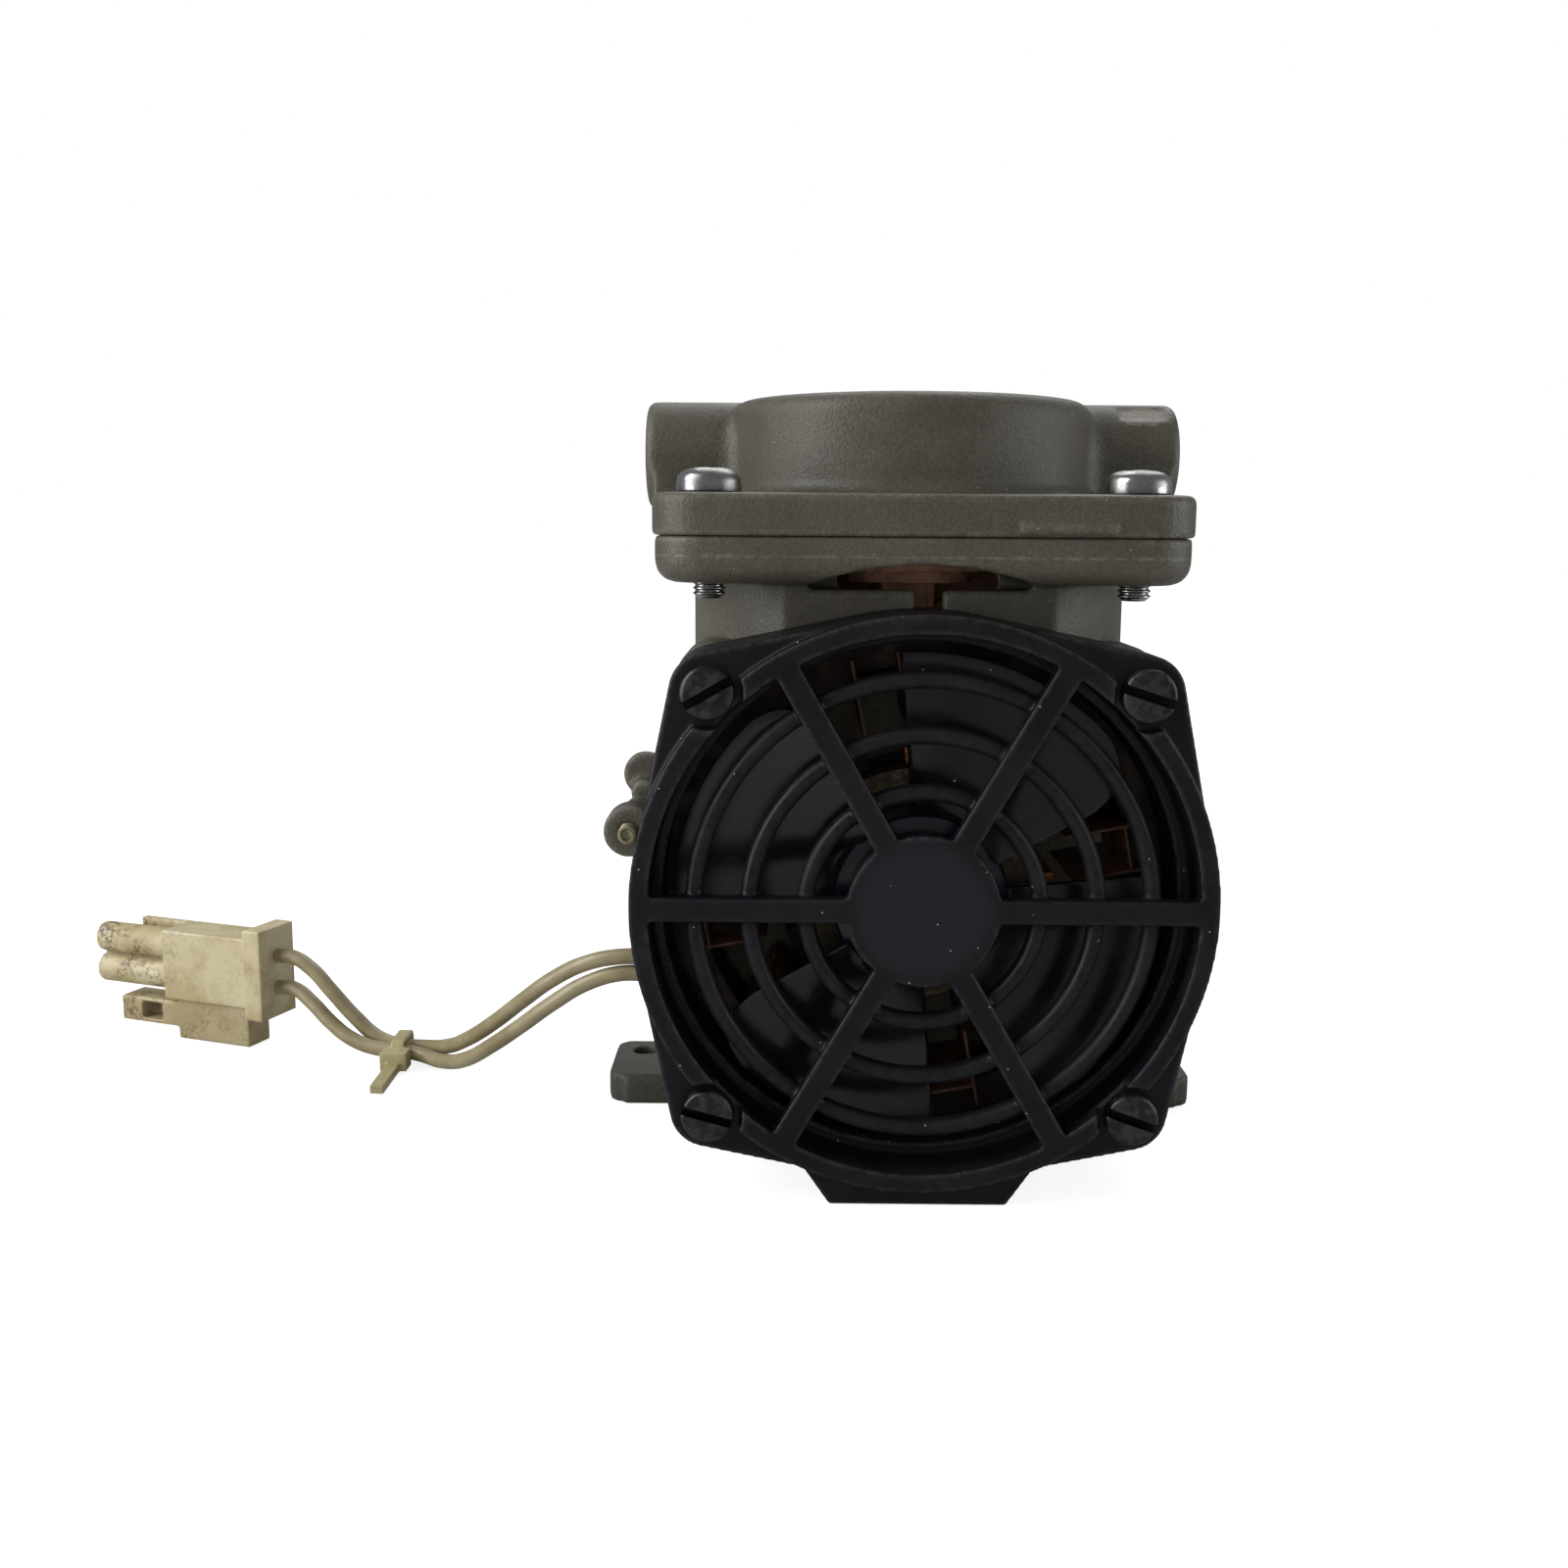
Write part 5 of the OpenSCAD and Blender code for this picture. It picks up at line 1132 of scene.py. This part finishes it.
def loop_point(turns):
    """A point on the wire after so many turns, in millimetres. Z is outwards along the pole."""
    across, along = math.cos(2 * math.pi * turns), math.sin(2 * math.pi * turns)
    return (LOOP_W * math.copysign(abs(across) ** LOOP_SQUARENESS, across),
            LOOP_L * math.copysign(abs(along) ** LOOP_SQUARENESS, along), COIL_START + WIRE_PITCH * turns)


wire, spline = new_curve("wire", WIRE_D * MM, "POLY", 1)
spline.points.add(TURNS * LOOP_POINTS)
for i, point in enumerate(spline.points):
    point.co = (*(MM * v for v in loop_point(i / LOOP_POINTS)), 1)
focus(wire)
bpy.ops.object.convert(target="MESH")
wire = bpy.context.object
coil_middle = Matrix.Translation((0, middle_of("stator_core").y, SHAFT_Z))
coils = repeated(wire, "copper_coils", [
    coil_middle @ turn(45 - POLE_TURN - 90 * k, "Y") for k in range(4)])
smooth_by(coils, 60)
finish_piece(coils, "body", copper_wire, "copper", "stator_windings")

# %% [markdown]
# The insert in the ear is short and threaded, with a rounded rim and a sunk centre.

# %% Ear insert
insert = turned("ear_insert", [
    (1.2, 0), (1.6, 0.3), *thread(1.7, 1.45, 0.5, 9.0, 0.5), (1.68, 9.1), (1.68, 9.7), (1.5, 9.95),
    (1.15, 10.0), (0.95, 9.75), (0.9, 9.3), (0.5, 9.25)], 40)
mouth = middle_of("ear_screw")
mouth.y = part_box("ear_screw")[1].y
insert.data.transform(Matrix.Translation(mouth) @ TO_FRONT)
smooth_by(insert)
finish_piece(insert, "body", aged_zinc, "bright_steel", "ear_screw")

# %% [markdown]
# The connector and the tie are small mouldings near the camera, so their skins are finer.

# %% Connector and tie
plug = cast_skin("connector_housing", "connector_body", connector_nylon, "connector_nylon",
                 0.24 * MM, 4, 120000, spread=6)
tie = cast_skin("cable_tie", "tie_strap", tie_nylon, "tie_nylon", 0.16 * MM, 5, 40000)

# %% [markdown]
# Now that the plug and the tie are there, the length of each lead is printed.

# %% Cords
for piece, length, start in lead_pieces:
    [v * MM for v in start]
    print(piece.name, "is a cord of", round(length / MM, 1), "mm")

# %% [markdown]
# The view shows the colours as they are written, without a film curve.

# %% Colour view
scene.view_settings.view_transform = "Standard"
